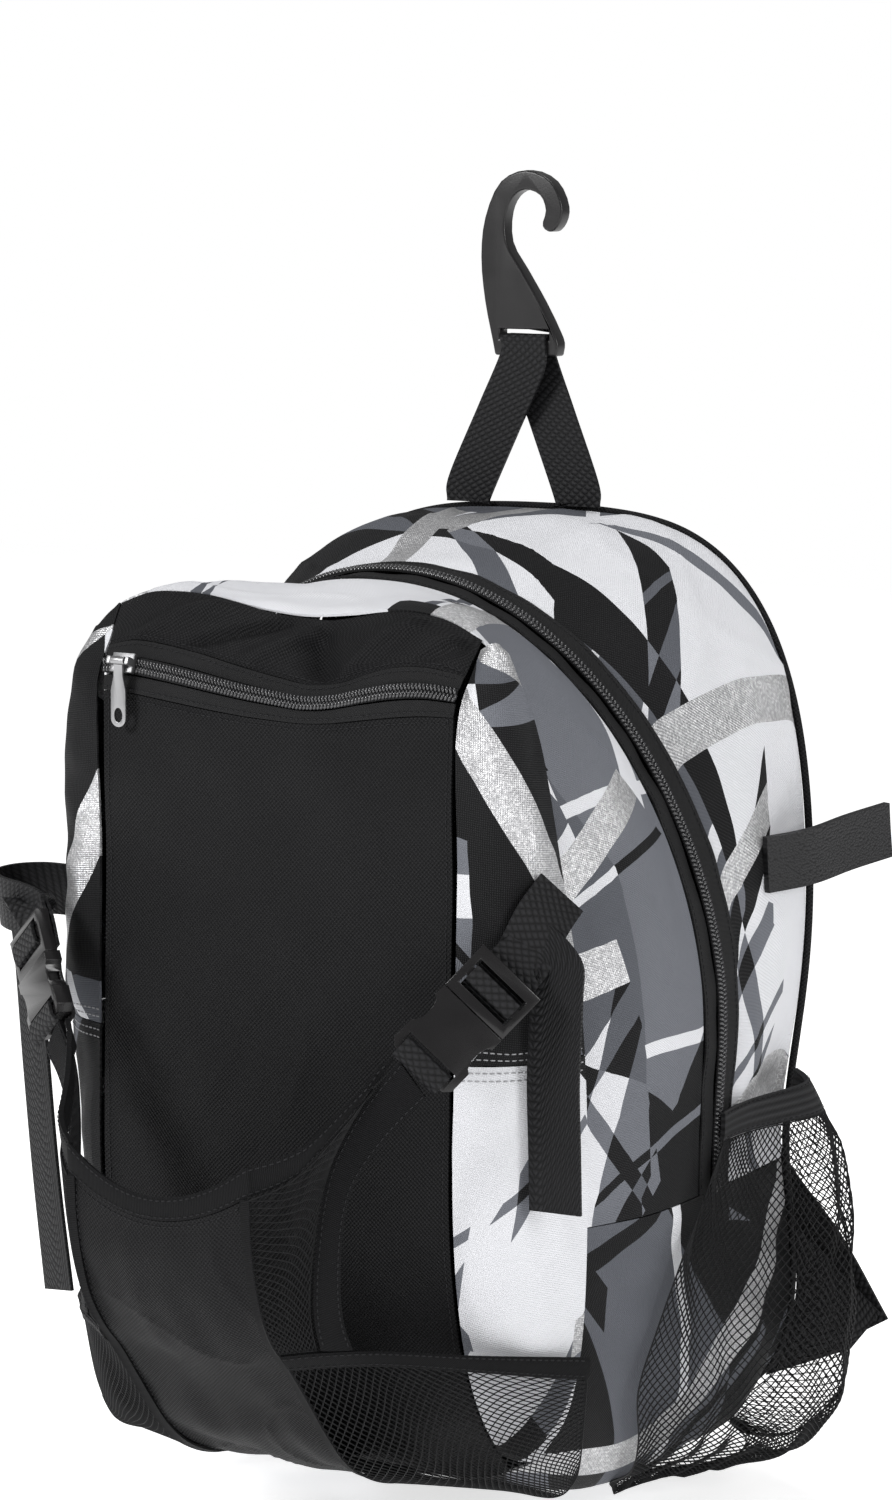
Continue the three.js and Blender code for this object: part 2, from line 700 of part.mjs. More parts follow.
// Outward normal of the drum on the arch.
function outward(run, i, v) {
  const step = 0.05;
  const last = runs[0][run].length - 1;
  const a = skin(run, Math.min(i + step, last), v).sub(skin(run, Math.max(i - step, 0), v));
  const b = skin(run, i, Math.min(v + step, SEAM_SECTION)).sub(skin(run, i, Math.max(v - step, 0)));
  return a.cross(b).normalize();
}
add(
  "main_zip_chain",
  wallSolid(
    archSteps.map((i) => [-chainHalf, chainHalf].map((d) => skin("arch", i, besideZip(i, d)))),
    CLOTH,
    ZIP_CHAIN_PROUD
  ),
  ZIP_BLACK,
);
add(
  "boot",
  wallSolid(
    span(0, BOOT_STEPS, BOOT_STEPS).map(
      (i) => span(0, SEAM_SECTION - depthTrim, 8).map((v) => skin("boot", i, v))
    ),
    CLOTH
  ),
  CLOTH_PRINT
);

// The seam where the front pocket meets the drum: its right half from the top to the bottom.
const seamHalf = span(Math.PI / 2, -Math.PI / 2, 400).map(
  (a) => sectionPoint(SECTIONS[SEAM_SECTION], a)
);
function crossing(list, key, value) {
  let k = 0;
  while (k < list.length - 2 && (list[k][key] - value) * (list[k + 1][key] - value) > 0) k++;
  return list[k].clone().lerp(list[k + 1], (value - list[k][key]) / (list[k + 1][key] - list[k][key]));
}
const mirrored = (p, side) => V(p.x * side, p.y, p.z);

// Front pocket
const faceHalf = FACE_WIDTH / 2;
const seamY = BACK_Y - SECTIONS[SEAM_SECTION].side * BODY_DEPTH;
const widest = seamHalf.reduce((best, p, i) => (p.x > seamHalf[best].x ? i : best), 0);
const topHalf = seamHalf.slice(0, widest + 1);
const bottomHalf = seamHalf.slice(widest).reverse();
const topEdge = (x) => (Math.abs(x) < 0.5 ? topHalf[0].clone() : crossing(topHalf, "x", Math.abs(x)));
const bottomEdge = (x) => (
  Math.abs(x) < 0.5 ? bottomHalf[0].clone() : crossing(bottomHalf, "x", Math.abs(x))
);
const [cornerTop, cornerBottom] = [topEdge(faceHalf), bottomEdge(faceHalf)];

const faceLine = evenly(
  new THREE.CatmullRomCurve3(
    [
      cornerTop,
      ...[...FACE_PROFILE].reverse().map(
        (r) => V(faceHalf, seamY - r.reach * POCKET_DEPTH, r.height * BAG_HEIGHT)
      ),
      cornerBottom,
    ].filter(
      (p, i, all) =>
        i === 0 || i === all.length - 1 || (p.z < cornerTop.z - 6 && p.z > cornerBottom.z + 6),
    ),
    false,
    "centripetal",
  ).getPoints(200),
  100,
);
const faceLength = faceLine.reduce((sum, p, i) => sum + (i ? p.distanceTo(faceLine[i - 1]) : 0), 0);
function onLine(line, t) {
  const at = THREE.MathUtils.clamp(t, 0, 1) * (line.length - 1);
  const k = Math.min(Math.floor(at), line.length - 2);
  return line[k].clone().lerp(line[k + 1], at - k);
}
const shareAt = (line, key, value) => {
  let k = 0;
  while (k < line.length - 2 && line[k + 1][key] > value) k++;
  return (k + (line[k][key] - value) / (line[k][key] - line[k + 1][key])) / (line.length - 1);
};

// The pocket's black face: u runs across from -1 to 1, t from the top edge to the bottom.
function facePoint(u, t) {
  const p = onLine(faceLine, t);
  const atTop = 1 - THREE.MathUtils.smoothstep(t, 0, 0.16);
  const atBottom = THREE.MathUtils.smoothstep(t, 0.75, 1);
  const edge = V(0, 0, 0)
    .addScaledVector(topEdge(u * faceHalf).setX(0).sub(cornerTop.clone().setX(0)), atTop)
    .addScaledVector(bottomEdge(u * faceHalf).setX(0).sub(cornerBottom.clone().setX(0)), atBottom);
  const swell = FACE_DOME * (1 - u * u) * Math.sin(Math.PI * t);
  const crease = TOP_DENT * bell(u, 0.25, 0.3) * bell(t, 0.06, 0.05) * (1 - u ** 4);
  return V(u * faceHalf, p.y + edge.y - swell + crease * 0.4, p.z + edge.z - crease);
}
const zipShare = shareAt(faceLine, "z", POCKET_ZIP_HEIGHT);
const zipSag = (u) => (ZIP_SAG * (1 - u * u)) / faceLength;
const cornerTrim = CORNER_GAP / faceHalf;
const faceU = span(-1 + cornerTrim, 1 - cornerTrim, 12);
const pocketTape = chainHalf + SEAM_GAP + POCKET_TAPE_WIDTH;
const faceStrip = (from, to) => faceU.map(
  (u) => span(from, to, 1).map((d) => facePoint(u, zipShare + zipSag(u) + d / faceLength))
);
const wallFacing = (grid, wall, proud = 0) => wallSolid(grid, -wall, -proud);

const topTrim = CORNER_GAP / faceLength;
add(
  "pocket_top",
  wallFacing(
    faceU.map(
      (u) => span(0, 1, 5).map(
        (k) => facePoint(
          u,
          mix(topTrim, zipShare + zipSag(u) - (pocketTape + SEAM_GAP) / faceLength, k)
        )
      )
    ),
    CLOTH
  ),
  CLOTH_BLACK
);
add(
  "pocket_zip_tape_upper",
  wallFacing(faceStrip(-pocketTape, -chainHalf - SEAM_GAP), CLOTH),
  ZIP_BLACK
);
add("pocket_zip_tape_lower", wallFacing(faceStrip(chainHalf + SEAM_GAP, pocketTape), CLOTH), ZIP_BLACK);
add(
  "pocket_zip_chain",
  wallFacing(faceStrip(-chainHalf, chainHalf), CLOTH, ZIP_CHAIN_PROUD),
  ZIP_BLACK
);
add(
  "pocket_face",
  wallFacing(
    faceU.map(
      (u) => span(0, 1, 10).map(
        (k) => facePoint(
          u,
          mix(zipShare + zipSag(u) + (pocketTape + SEAM_GAP) / faceLength, 1 - topTrim, k)
        )
      )
    ),
    CLOTH
  ),
  CLOTH_BLACK
);

// The pocket's sides: t from the top corner to the bottom one, s from the drum to the face.
const seamLine = evenly([cornerTop, ...seamHalf.filter((p) => p.x > faceHalf), cornerBottom], 100);
function sidePoint(t, s) {
  const [outer, inner] = [onLine(seamLine, t), onLine(faceLine, t)];
  const along = onLine(seamLine, t + 0.02).sub(onLine(seamLine, t - 0.02));
  const out = inner.clone().sub(outer).cross(along).normalize();
  const bulge = POCKET_SIDE_BULGE * mix(
    1.1,
    0.5,
    THREE.MathUtils.smoothstep(t, 0.2, 0.7)
  ) * Math.sin(Math.PI * t) ** 0.4;
  return outer.lerp(inner, s).addScaledVector(out, bulge * 4 * s * (1 - s));
}
const seamShare = shareAt(faceLine, "z", POCKET_SEAM_HEIGHT);
function sideGrid(side, from, to, steps) {
  return span(from, to, steps).map((t) => {
    const wide = onLine(seamLine, t).distanceTo(onLine(faceLine, t));
    return span(DRUM_GAP / wide, 1 - CORNER_GAP / wide, 4).map((s) => mirrored(sidePoint(t, s), side));
  });
}
const seamStep = SEAM_GAP / 2 / faceLength;
bothSides((side, name) => {
  add(
    `pocket_side_upper_${name}`,
    wallSolid(sideGrid(side, SIDE_START, seamShare - seamStep, 10), CLOTH * side),
    CLOTH_PRINT
  );
  add(
    `pocket_side_lower_${name}`,
    wallSolid(sideGrid(side, seamShare + seamStep, 1 - SIDE_START, 8), CLOTH * side),
    CLOTH_PRINT
  );
});

// The wall between the pocket and the main compartment
const liningRows = span(cornerBottom.z + LINING_INSET, cornerTop.z - 1.6 * LINING_INSET, 8).map((z) => {
  const half = crossing(z > seamHalf[widest].z ? topHalf : bottomHalf, "z", z);
  return span(-1, 1, 8).map((u) => V(u * (half.x - LINING_INSET), half.y + LINING_INSET, z));
});
add("pocket_lining", wallSolid(liningRows, CLOTH), CLOTH_BLACK);

// The front zip's slider and its hinged pull, near the left end
const pullX = -faceHalf + SLIDER_FROM_SEAM + SLIDER_LENGTH / 2;
const pullU = pullX / faceHalf;
const zipAt = (shift) => slacken(facePoint(pullU, zipShare + zipSag(pullU) + shift));
const onZip = zipAt(0);
const slope = zipAt(0.01).sub(zipAt(-0.01));
const tilt = Math.atan2(slope.y, -slope.z);
const sliderFoot = ZIP_CHAIN_PROUD + SEAT_GAP;
const pinReach = sliderFoot + SLIDER_PLATE + BARREL_RADIUS + 3 * PIN_CLEARANCE;
const pin = V(0, -pinReach, 0).applyAxisAngle(V(1, 0, 0), tilt).add(V(pullX, onZip.y, onZip.z));
const tubeX = (radius, length, x, y, z) => new THREE.CylinderGeometry(
  radius, radius, length, 16
).rotateZ(Math.PI / 2).translate(x, y, z);
const lugX = SLIDER_LENGTH / 2 - LUG / 2;
const lugDepth = pinReach - sliderFoot + PIN_RADIUS + 0.4;
const lug = (x) => block(LUG, lugDepth, SLIDER_WIDTH * 0.4, V(x, -sliderFoot - lugDepth / 2, 0));
add(
  "pocket_zip_slider",
  joined([
    block(SLIDER_LENGTH, SLIDER_PLATE, SLIDER_WIDTH, V(0, -sliderFoot - SLIDER_PLATE / 2, 0)),
    lug(-lugX),
    lug(lugX),
    tubeX(PIN_RADIUS, SLIDER_LENGTH - LUG, 0, -pinReach, 0),
  ])
    .rotateX(tilt)
    .translate(pullX, onZip.y, onZip.z),
  NICKEL,
);
const barrelLength = SLIDER_LENGTH - 2 * LUG - 2 * PIN_CLEARANCE;
const tabShape = new THREE.Shape();
const [pullHalf, neckHalf] = [PULL_WIDTH / 2, PULL_WIDTH * 0.3];
tabShape.moveTo(-neckHalf, 0);
tabShape.lineTo(-neckHalf, -PULL_LENGTH * 0.22);
tabShape.lineTo(-pullHalf, -PULL_LENGTH * 0.45);
tabShape.lineTo(-pullHalf, -PULL_LENGTH + pullHalf);
tabShape.absarc(0, -PULL_LENGTH + pullHalf, pullHalf, Math.PI, 2 * Math.PI, false);
tabShape.lineTo(pullHalf, -PULL_LENGTH * 0.45);
tabShape.lineTo(neckHalf, -PULL_LENGTH * 0.22);
tabShape.lineTo(neckHalf, 0);
const eye = new THREE.Path().absellipse(
  0, -PULL_LENGTH + pullHalf + 1.4, PULL_HOLE / 2, PULL_HOLE * 0.75, 0, 2 * Math.PI, true
);
tabShape.holes.push(eye);
const tab = new THREE.ExtrudeGeometry(
  tabShape,
  { depth: PULL_THICKNESS, bevelEnabled: false, curveSegments: 8 }
)
  .rotateX(Math.PI / 2)
  .translate(pullX, pin.y + PULL_THICKNESS / 2, pin.z);
add(
  "pocket_zip_pull",
  cutFrom(joined([tab, tubeX(BARREL_RADIUS, barrelLength, pullX, pin.y, pin.z)]), [
    tubeX(PIN_RADIUS + PIN_CLEARANCE, SLIDER_LENGTH, pullX, pin.y, pin.z),
  ]),
  NICKEL,
);

// Main zip's slider, at rest at the left foot of the arch
const rest = ARCH_STEPS * 0.9;
const restNormal = outward("arch", rest, ZIP_SECTION);
const restAlong = skin("arch", rest + 0.2, ZIP_SECTION).sub(
  skin("arch", rest - 0.2, ZIP_SECTION)
).normalize();
const restAt = skin("arch", rest, ZIP_SECTION).addScaledVector(
  restNormal, ZIP_CHAIN_PROUD + SEAT_GAP + SLIDER_HEIGHT / 2
);
const restStation = (d, lift) => (
  {
    at: restAt.clone().addScaledVector(restAlong, d).addScaledVector(restNormal, lift),
    across: restAlong.clone().cross(restNormal)
  }
);
add(
  "main_zip_slider",
  joined([
    band(
      [restStation(-SLIDER_LENGTH / 2, 0), restStation(SLIDER_LENGTH / 2, 0)],
      SLIDER_WIDTH,
      SLIDER_HEIGHT
    ),
    band(
      [
        restStation(-SLIDER_LENGTH * 0.4, SLIDER_HEIGHT / 2),
        restStation(PULL_LENGTH * 0.85, SLIDER_HEIGHT / 2)
      ],
      PULL_WIDTH * 0.8,
      PULL_THICKNESS
    ),
  ]),
  NICKEL,
);

// Back panel and the piped seam round it
const backRing = evenly(
  [...runs[0].arch, ...runs[0].boot.slice(1, -1), runs[0].arch[0]],
  56
).slice(0, -1);
const inset = (p, d) => {
  const away = V(p.x, 0, p.z - midZ);
  return p.clone().addScaledVector(away.normalize(), -d);
};
const backShape = new THREE.Shape(
  backRing.map((p) => inset(p, BACK_INSET)).map((p) => new THREE.Vector2(p.x, p.z))
);
add(
  "back_panel",
  new THREE.ExtrudeGeometry(
    backShape,
    { depth: BACK_PAD, bevelEnabled: false }
  ).rotateX(Math.PI / 2).translate(0, BACK_Y + SEAM_GAP + BACK_PAD, 0),
  CLOTH_BLACK,
);
const pipeY = BACK_Y + SEAM_GAP + PIPING_RADIUS;
const pipe = new THREE.CatmullRomCurve3(backRing.map((p) => V(p.x, pipeY, p.z)), true);
add("back_piping", closedTube(pipe, PIPING_RADIUS, 64, 6), WEB_BLACK);

// Front sling
const rootY = BACK_Y - BODY_DEPTH - SLING_ROOT;
const slingPoint = (r, side = 1) => V(
  r.across * faceHalf * side, rootY - r.reach * SLING_REACH, r.rise * SLING_RIM_HEIGHT
);
const slingEdge = (rows) => new THREE.CatmullRomCurve3(
  rows.map((r) => slingPoint(r)),
  false,
  "centripetal"
);
const middleRows = SLING_PROFILE.map(
  (r) => V(SLING_PANEL_WIDTH / 2, rootY - r.reach * SLING_REACH, r.height * SLING_RIM_HEIGHT)
).reverse();
const middleLine = evenly(
  new THREE.CatmullRomCurve3(middleRows, false, "centripetal").getPoints(200),
  100
);
const middleLength = middleLine.reduce(
  (sum, p, i) => sum + (i ? p.distanceTo(middleLine[i - 1]) : 0),
  0
);
function middlePoint(u, t) {
  const p = onLine(middleLine, t);
  const rimDip = SLING_DIP * (1 - u * u) * (1 - t) ** 3;
  return V(
    u * p.x,
    p.y - SLING_DOME * (1 - u * u) * Math.sin(Math.PI * Math.min(t + 0.35, 1)),
    p.z - rimDip
  );
}
const bindingShare = BINDING_WIDTH / middleLength;
const gapShare = SEAM_GAP / middleLength;
const middleU = 1 - (2 * SEAM_GAP) / SLING_PANEL_WIDTH;
add(
  "sling_middle",
  wallFacing(
    span(-middleU, middleU, 8).map(
      (u) => span(bindingShare + gapShare, 1, 12).map((t) => middlePoint(u, t))
    ),
    CLOTH
  ),
  CLOTH_BLACK
);

// A patch stretched between four edges: top and bottom run with u, near and far with v.
function patch(top, bottom, near, far) {
  const corners = [top(0), top(1), bottom(0), bottom(1)];
  return (u, v) => {
    const p = top(u).multiplyScalar(1 - v).addScaledVector(bottom(u), v);
    p.addScaledVector(near(v), 1 - u).addScaledVector(far(v), u);
    const weights = [(1 - u) * (1 - v), u * (1 - v), (1 - u) * v, u * v];
    corners.forEach((c, i) => p.addScaledVector(c, -weights[i]));
    return p;
  };
}
const wingShare = shareAt(middleLine, "z", SLING_CORNER_HEIGHT);
const rimEdge = slingEdge(RIM);
const sideEdge = slingEdge(SIDE_EDGE);
const lowerEdge = slingEdge(LOWER_EDGE);
const bottomLine = slingEdge(BOTTOM_EDGE);
const cornerAt = 2 / (LOWER_EDGE.length - 1);
const wing = patch(
  (u) => rimEdge.getPoint(u),
  (u) => lowerEdge.getPoint(u * cornerAt),
  (v) => middlePoint(1, v * wingShare),
  (v) => sideEdge.getPoint(1 - v),
);
const skirt = patch(
  (u) => lowerEdge.getPoint(u),
  (u) => bottomLine.getPoint(u),
  (v) => middlePoint(1, mix(wingShare, 1, v)),
  (v) => lowerEdge.getPoint(1).lerp(bottomLine.getPoint(1), v),
);
const wide = (make, u, v, length) => length / make(u, v).distanceTo(make(u + 0.01, v)) / 100;
const tall = (make, u, v, length) => length / make(u, v).distanceTo(make(u, v + 0.01)) / 100;

bothSides((side, name) => {
  const wingAt = (u, v) => mirrored(wing(u, v), side);
  const skirtAt = (u, v) => mirrored(skirt(u, v), side);
  // Shares of the patch that the bindings take at each of its edges
  const rimBand = (u) => Math.min(
    (BINDING_WIDTH + 2 * SEAM_GAP) / wing(u, 0).distanceTo(wing(u, 1)),
    0.46
  );
  const edgeBand = (v) => Math.min(
    (BINDING_WIDTH + SEAM_GAP) / wing(0, v).distanceTo(wing(1, v)),
    0.48
  );
  const rows = span(0, 1, 10);
  const net = rows.map((k) => {
    const last = 1 - edgeBand(mix(rimBand(0), 1, k)) - 0.055;
    return span(0.01, last, 5).map((u) => wingAt(u, mix(rimBand(u), 0.995, k)));
  });
  add(`sling_wing_${name}`, wallSolid(net, -MESH * side), MESH_BLACK);
  const hem = rows.map((k) => {
    const v = mix(0.0, 0.995, k);
    return [wingAt(1 - edgeBand(v), v), wingAt(1, v)];
  });
  add(`sling_side_binding_${name}`, wallSolid(hem, -BINDING * side), WEB_BLACK);
  const low = (u) => (BINDING_WIDTH * 0.8) / skirt(u, 0).distanceTo(skirt(u, 1));
  add(
    `sling_lower_binding_${name}`,
    wallSolid(span(0.012, 1, 14).map((u) => [skirtAt(u, 0.006), skirtAt(u, low(u))]), BINDING * side),
    WEB_BLACK,
  );
  add(
    `sling_skirt_${name}`,
    wallSolid(
      span(0.012, 1, 10).map((u) => span(low(u) + 0.008, 1, 6).map((v) => skirtAt(u, v))),
      MESH * side
    ),
    MESH_BLACK,
  );
});
const RIM_END = (RIM.length - 2) / (RIM.length - 1);
const rimColumns = (side) =>
  span(0.03, RIM_END, 8).map((u) => {
    const share = BINDING_WIDTH / wing(u, 0).distanceTo(wing(u, 1));
    return [wing(u, 0), wing(u, Math.min(share, 0.45))].map((p) => mirrored(p, side));
  });
const rimMiddle = span(-1, 1, 8).map((u) => [middlePoint(u, 0), middlePoint(u, bindingShare)]);
add(
  "sling_rim_binding",
  wallSolid([...rimColumns(-1).reverse(), ...rimMiddle, ...rimColumns(1)], -BINDING),
  WEB_BLACK
);

// Side pockets of mesh under a ribbed hem
const ringAt = (z) =>
  SECTIONS.map((section, k) => {
    const half = span(-Math.PI / 2, Math.PI / 2, 200).map((a) => sectionPoint(section, a));
    const [low, high] = [half[0].z, half[200].z];
    const p = crossing(half.slice(0, 200), "z", THREE.MathUtils.clamp(z, low + 0.5, high - 0.5));
    return { y: p.y, x: p.x, k };
  }).reverse();
const sideAt = (y, z) => smooth(ringAt(z), "y", "x", y);
const floorAt = (y) => smooth(
  SECTIONS.map((s) => ({ y: BACK_Y - s.base * BODY_DEPTH, z: s.floor * BAG_HEIGHT })).reverse(),
  "y",
  "z",
  y
);
const swell = (s) => Math.sin(Math.PI * s ** 2.4) ** 0.8;
const middleY = BACK_Y - 0.5 * BODY_DEPTH;
function pocketPoint(h, s) {
  const [height, front, out, lift] = ["height", "front", "out", "lift"].map(
    (key) => through(SIDE_POCKET, key, h)
  );
  const y = mix(middleY - front * BODY_DEPTH, BACK_Y - 2, s);
  const z = height * SIDE_POCKET_HEIGHT + floorAt(y) * (1 - h) ** 4 + HEM_RISE * s * h ** 3;
  const stand = POCKET_STAND + MESH + lift * SIDE_POCKET_BULGE * (1 - s) ** 2;
  const wall = Math.max(sideAt(y, z) + stand, BAG_WIDTH * 0.36);
  const peak = BAG_WIDTH * 0.465 + out * SIDE_POCKET_BULGE;
  return V(wall + Math.max(peak - wall, 0) * swell(s), y, z);
}
bothSides((side, name) => {
  const net = span(0, 1, 9).map((h) => span(0, 1, 10).map((s) => mirrored(pocketPoint(h, s), side)));
  add(`side_pocket_${name}`, wallSolid(net, -MESH * side), MESH_BLACK);
  const hem = span(0, 1, 10).map((s) => {
    const foot = pocketPoint(1, s).add(V(0, 0, SEAM_GAP));
    const head = foot.clone().add(
      V(-0.35 * Math.max(foot.x - sideAt(foot.y, foot.z) - POCKET_STAND, 0), 0, HEM_WIDTH)
    );
    head.x = Math.max(head.x, sideAt(head.y, head.z) + POCKET_STAND + HEM);
    foot.x = Math.max(foot.x, sideAt(foot.y, foot.z) + POCKET_STAND + HEM);
    return [foot, head].map((p) => mirrored(p, side));
  });
  add(`side_hem_${name}`, wallSolid(hem, HEM * side), WEB_BLACK);
});

// Webbing that runs from the pocket's seam through the buckle and ends in a loose tail
const buckleEnd = (end) => V(
  end.across * faceHalf, rootY - end.reach * SLING_REACH, end.rise * BAG_HEIGHT
);
bothSides((side, name) => {
  const { from, to, face } = BUCKLES[name];
  const [low, high] = [buckleEnd(from), buckleEnd(to)];
  const along = high.clone().sub(low).normalize();
  const across = face.clone().cross(along).normalize();
  const up = along.clone().cross(across).normalize();
  const length = high.distanceTo(low);
  const socket = length * 0.58;
  const frame = new THREE.Matrix4().makeBasis(across, up, along).setPosition(low);
  const local = (x, y, z) => V(x, y, z).applyMatrix4(frame);
  const half = BUCKLE_WIDTH / 2;
  const plateShape = (a, b, round) => {
    const s = new THREE.Shape();
    s.moveTo(-half + round, a);
    s.lineTo(half - round, a);
    s.lineTo(half, a + round);
    s.lineTo(half, b);
    s.lineTo(-half, b);
    s.lineTo(-half, a + round);
    return s;
  };
  // Shapes are drawn in the buckle's plane, so their second axis is its length.
  const plate = (shape, t) => new THREE.ExtrudeGeometry(
    shape,
    { depth: t, bevelEnabled: false }
  ).rotateX(Math.PI / 2).translate(0, t / 2, 0);
  const window = (x) => new THREE.CylinderGeometry(
    1, 1, BUCKLE_THICKNESS * 2, 10
  ).scale(3.2, 1, socket * 0.22).translate(x, 0, socket * 0.62);
  const slotZ = BAR + BUCKLE_SLOT / 2;
  const socketBody = cutFrom(plate(plateShape(0, socket, 3), BUCKLE_THICKNESS), [
    block(WEBBING_WIDTH + 2, BUCKLE_THICKNESS * 2, BUCKLE_SLOT, V(0, 0, slotZ)),
    block(
      BUCKLE_WIDTH - 6,
      BUCKLE_THICKNESS - 3,
      socket - BAR - BUCKLE_SLOT - 3,
      V(0, 0, (socket + BAR + BUCKLE_SLOT + 3) / 2 + 0.01)
    ),
    window(half),
    window(-half),
  ]);
  add(`buckle_socket_${name}`, socketBody.applyMatrix4(frame), PLASTIC);
  const start = socket + BUCKLE_GAP;
  const end = length;
  const reach = socket - BAR - BUCKLE_SLOT - 5;
  const prong = (x, w) => block(
    w,
    BUCKLE_THICKNESS - 3 - 2 * BUCKLE_GAP,
    reach + 2,
    V(x, 0, start - reach / 2 + 1)
  );
  const slot = (z) => block(WEBBING_WIDTH + 2, BUCKLE_THICKNESS * 2, BUCKLE_SLOT, V(0, 0, z));
  const firstSlot = start + 5 + BUCKLE_SLOT / 2;
  const secondSlot = firstSlot + BUCKLE_SLOT + BAR;
  const plug = cutFrom(
    joined(
      [
        block(BUCKLE_WIDTH, BUCKLE_THICKNESS - 2, end - start, V(0, 0, (start + end) / 2)),
        prong(-half + 6.5, 4),
        prong(half - 6.5, 4),
        prong(0, 3)
      ]
    ),
    [slot(firstSlot), slot(secondSlot)],
  );
  add(`buckle_plug_${name}`, plug.applyMatrix4(frame), PLASTIC);

  // The sling's end is folded round the socket's bar.
  const wrap = BUCKLE_THICKNESS / 2 + WEBBING / 2 + BUCKLE_GAP;
  const fold = [
    [-TAB_LENGTH, wrap * 0.5],
    [-TAB_LENGTH * 0.3, wrap],
    [slotZ - 1.4, wrap],
    [slotZ, wrap - 1.4],
    [slotZ, -wrap + 1.4],
    [slotZ - 1.4, -wrap],
    [-TAB_LENGTH * 0.3, -wrap],
    [-TAB_LENGTH, -wrap * 0.5],
  ];
  const tip = (r) => ({ at: local(0, r[1], r[0]), across: across.clone() });
  add(`sling_tab_${name}`, band(fold.map(tip), WEBBING_WIDTH, WEBBING), WEB_BLACK);

  const wrapPlug = (BUCKLE_THICKNESS - 2) / 2 + WEBBING / 2 + BUCKLE_GAP;
  const lowLayer = -wrapPlug - WEBBING - BUCKLE_GAP;
  const at = (z, y) => ({ at: local(0, y, z), across: across.clone() });
  const way = (rows) => rows.map(
    (r) => ({ at: buckleEnd(r), across: V(r.lean, r.turn, r.drop).normalize() })
  );
  const strap = [
    ...way(STRAPS[name]),
    at(end + 4, lowLayer),
    at(firstSlot - 1.2, lowLayer),
    at(firstSlot, lowLayer + 1.4),
    at(firstSlot, wrapPlug - 1.4),
    at(firstSlot + 1.4, wrapPlug),
    at(secondSlot - 1.4, wrapPlug),
    at(secondSlot, wrapPlug - 1.4),
    at(secondSlot, -wrapPlug + 1.4),
    at(secondSlot + 1.4, -wrapPlug),
    at(end + 5, -wrapPlug),
    ...way(TAILS[name]),
  ];
  add(`buckle_strap_${name}`, band(strap, WEBBING_WIDTH, WEBBING), WEB_BLACK);
});

// Bat straps: a doubled strip standing off the gusset, and its closed twin on the left
const gussetAt = (depth, height, off) => {
  const [y, z] = [BACK_Y - depth * BODY_DEPTH, height * BAG_HEIGHT];
  return V(sideAt(y, z) + off, y, z);
};
const batPath = (rows, side) => rows.map(
  (r) => ({ at: mirrored(gussetAt(r.depth, r.height, r.off), side), across: V(0, 0, side) })
);
add(
  "bat_strap_right",
  band(smoothBand(batPath(BAT_OPEN, 1), 10), BAT_STRAP_WIDTH, BAT_STRAP),
  WEB_BLACK
);
add(
  "bat_strap_left",
  band(smoothBand(batPath(BAT_CLOSED, -1), 10), BAT_STRAP_WIDTH, BAT_STRAP),
  WEB_BLACK
);

// Hook and its webbing loop
const hookY = BACK_Y - HOOK_SETBACK;
const crownZ = BAG_HEIGHT + HOOK_RISE;
const hookCurve = new THREE.CatmullRomCurve3(
  HOOK_OUTLINE.map((p) => V(p.x * HOOK_HEIGHT, 0, p.z * HOOK_HEIGHT)),
  false,
  "centripetal"
);
const hookShape = new THREE.Shape(hookCurve.getPoints(66).map((p) => new THREE.Vector2(p.x, p.z)));
const footZ = HOOK_OUTLINE[0].z * HOOK_HEIGHT;
const slotLow = footZ + HOOK_BAR;
const slotHalf = WEBBING_WIDTH / 2 + 1;
const hookBlank = new THREE.ExtrudeGeometry(hookShape, { depth: HOOK_THICKNESS, bevelEnabled: false })
  .rotateX(Math.PI / 2)
  .translate(0, HOOK_THICKNESS / 2, 0);
const hookSlot = block(2 * slotHalf, 2 * HOOK_THICKNESS, HOOK_SLOT, V(0, 0, slotLow + HOOK_SLOT / 2));
add("hook", cutFrom(hookBlank, [hookSlot]).translate(HOOK_ACROSS, hookY, crownZ), PLASTIC);
const loopOut = HOOK_THICKNESS / 2 + WEBBING / 2 + BUCKLE_GAP;
const loopAt = (x, y, z, across) => ({ at: V(HOOK_ACROSS + x, hookY + y, crownZ + z), across });
const lean = Math.atan2(LOOP_SPREAD / 2, HOOK_RISE + footZ - LOOP_FOOT);
const leftAcross = V(Math.cos(lean), 0, -Math.sin(lean));
const rightAcross = V(Math.cos(lean), 0, Math.sin(lean));
const flat = V(1, 0, 0);
const passZ = slotLow + WEBBING / 2 + 0.6;
const legZ = (share) => mix(footZ - 3, LOOP_FOOT + 7 - HOOK_RISE, share);
const legX = (side, share) => ((side * LOOP_SPREAD) / 2 + LOOP_SHIFT) * share;
const leg = (side, share, across) => loopAt(
  legX(side, share),
  side * loopOut * (1 - share),
  legZ(share),
  across
);
const legFoot = (side) => loopAt(legX(side, 1), 0, LOOP_FOOT - HOOK_RISE, flat);
add(
  "hang_loop",
  band(
    [
      legFoot(-1),
      leg(-1, 1, leftAcross),
      leg(-1, 0.45, leftAcross),
      leg(-1, 0, leftAcross.clone().lerp(flat, 0.5)),
      loopAt(0, -loopOut, passZ - 1.4, flat),
      loopAt(0, -loopOut + 1.4, passZ, flat),
      loopAt(0, loopOut - 1.4, passZ, flat),
      loopAt(0, loopOut, passZ - 1.4, flat),
      leg(1, 0, rightAcross.clone().lerp(flat, 0.5)),
      leg(1, 0.45, rightAcross),
      leg(1, 1, rightAcross),
      legFoot(1),
    ],
    WEBBING_WIDTH,
    WEBBING,
  ),
  WEB_BLACK,
);

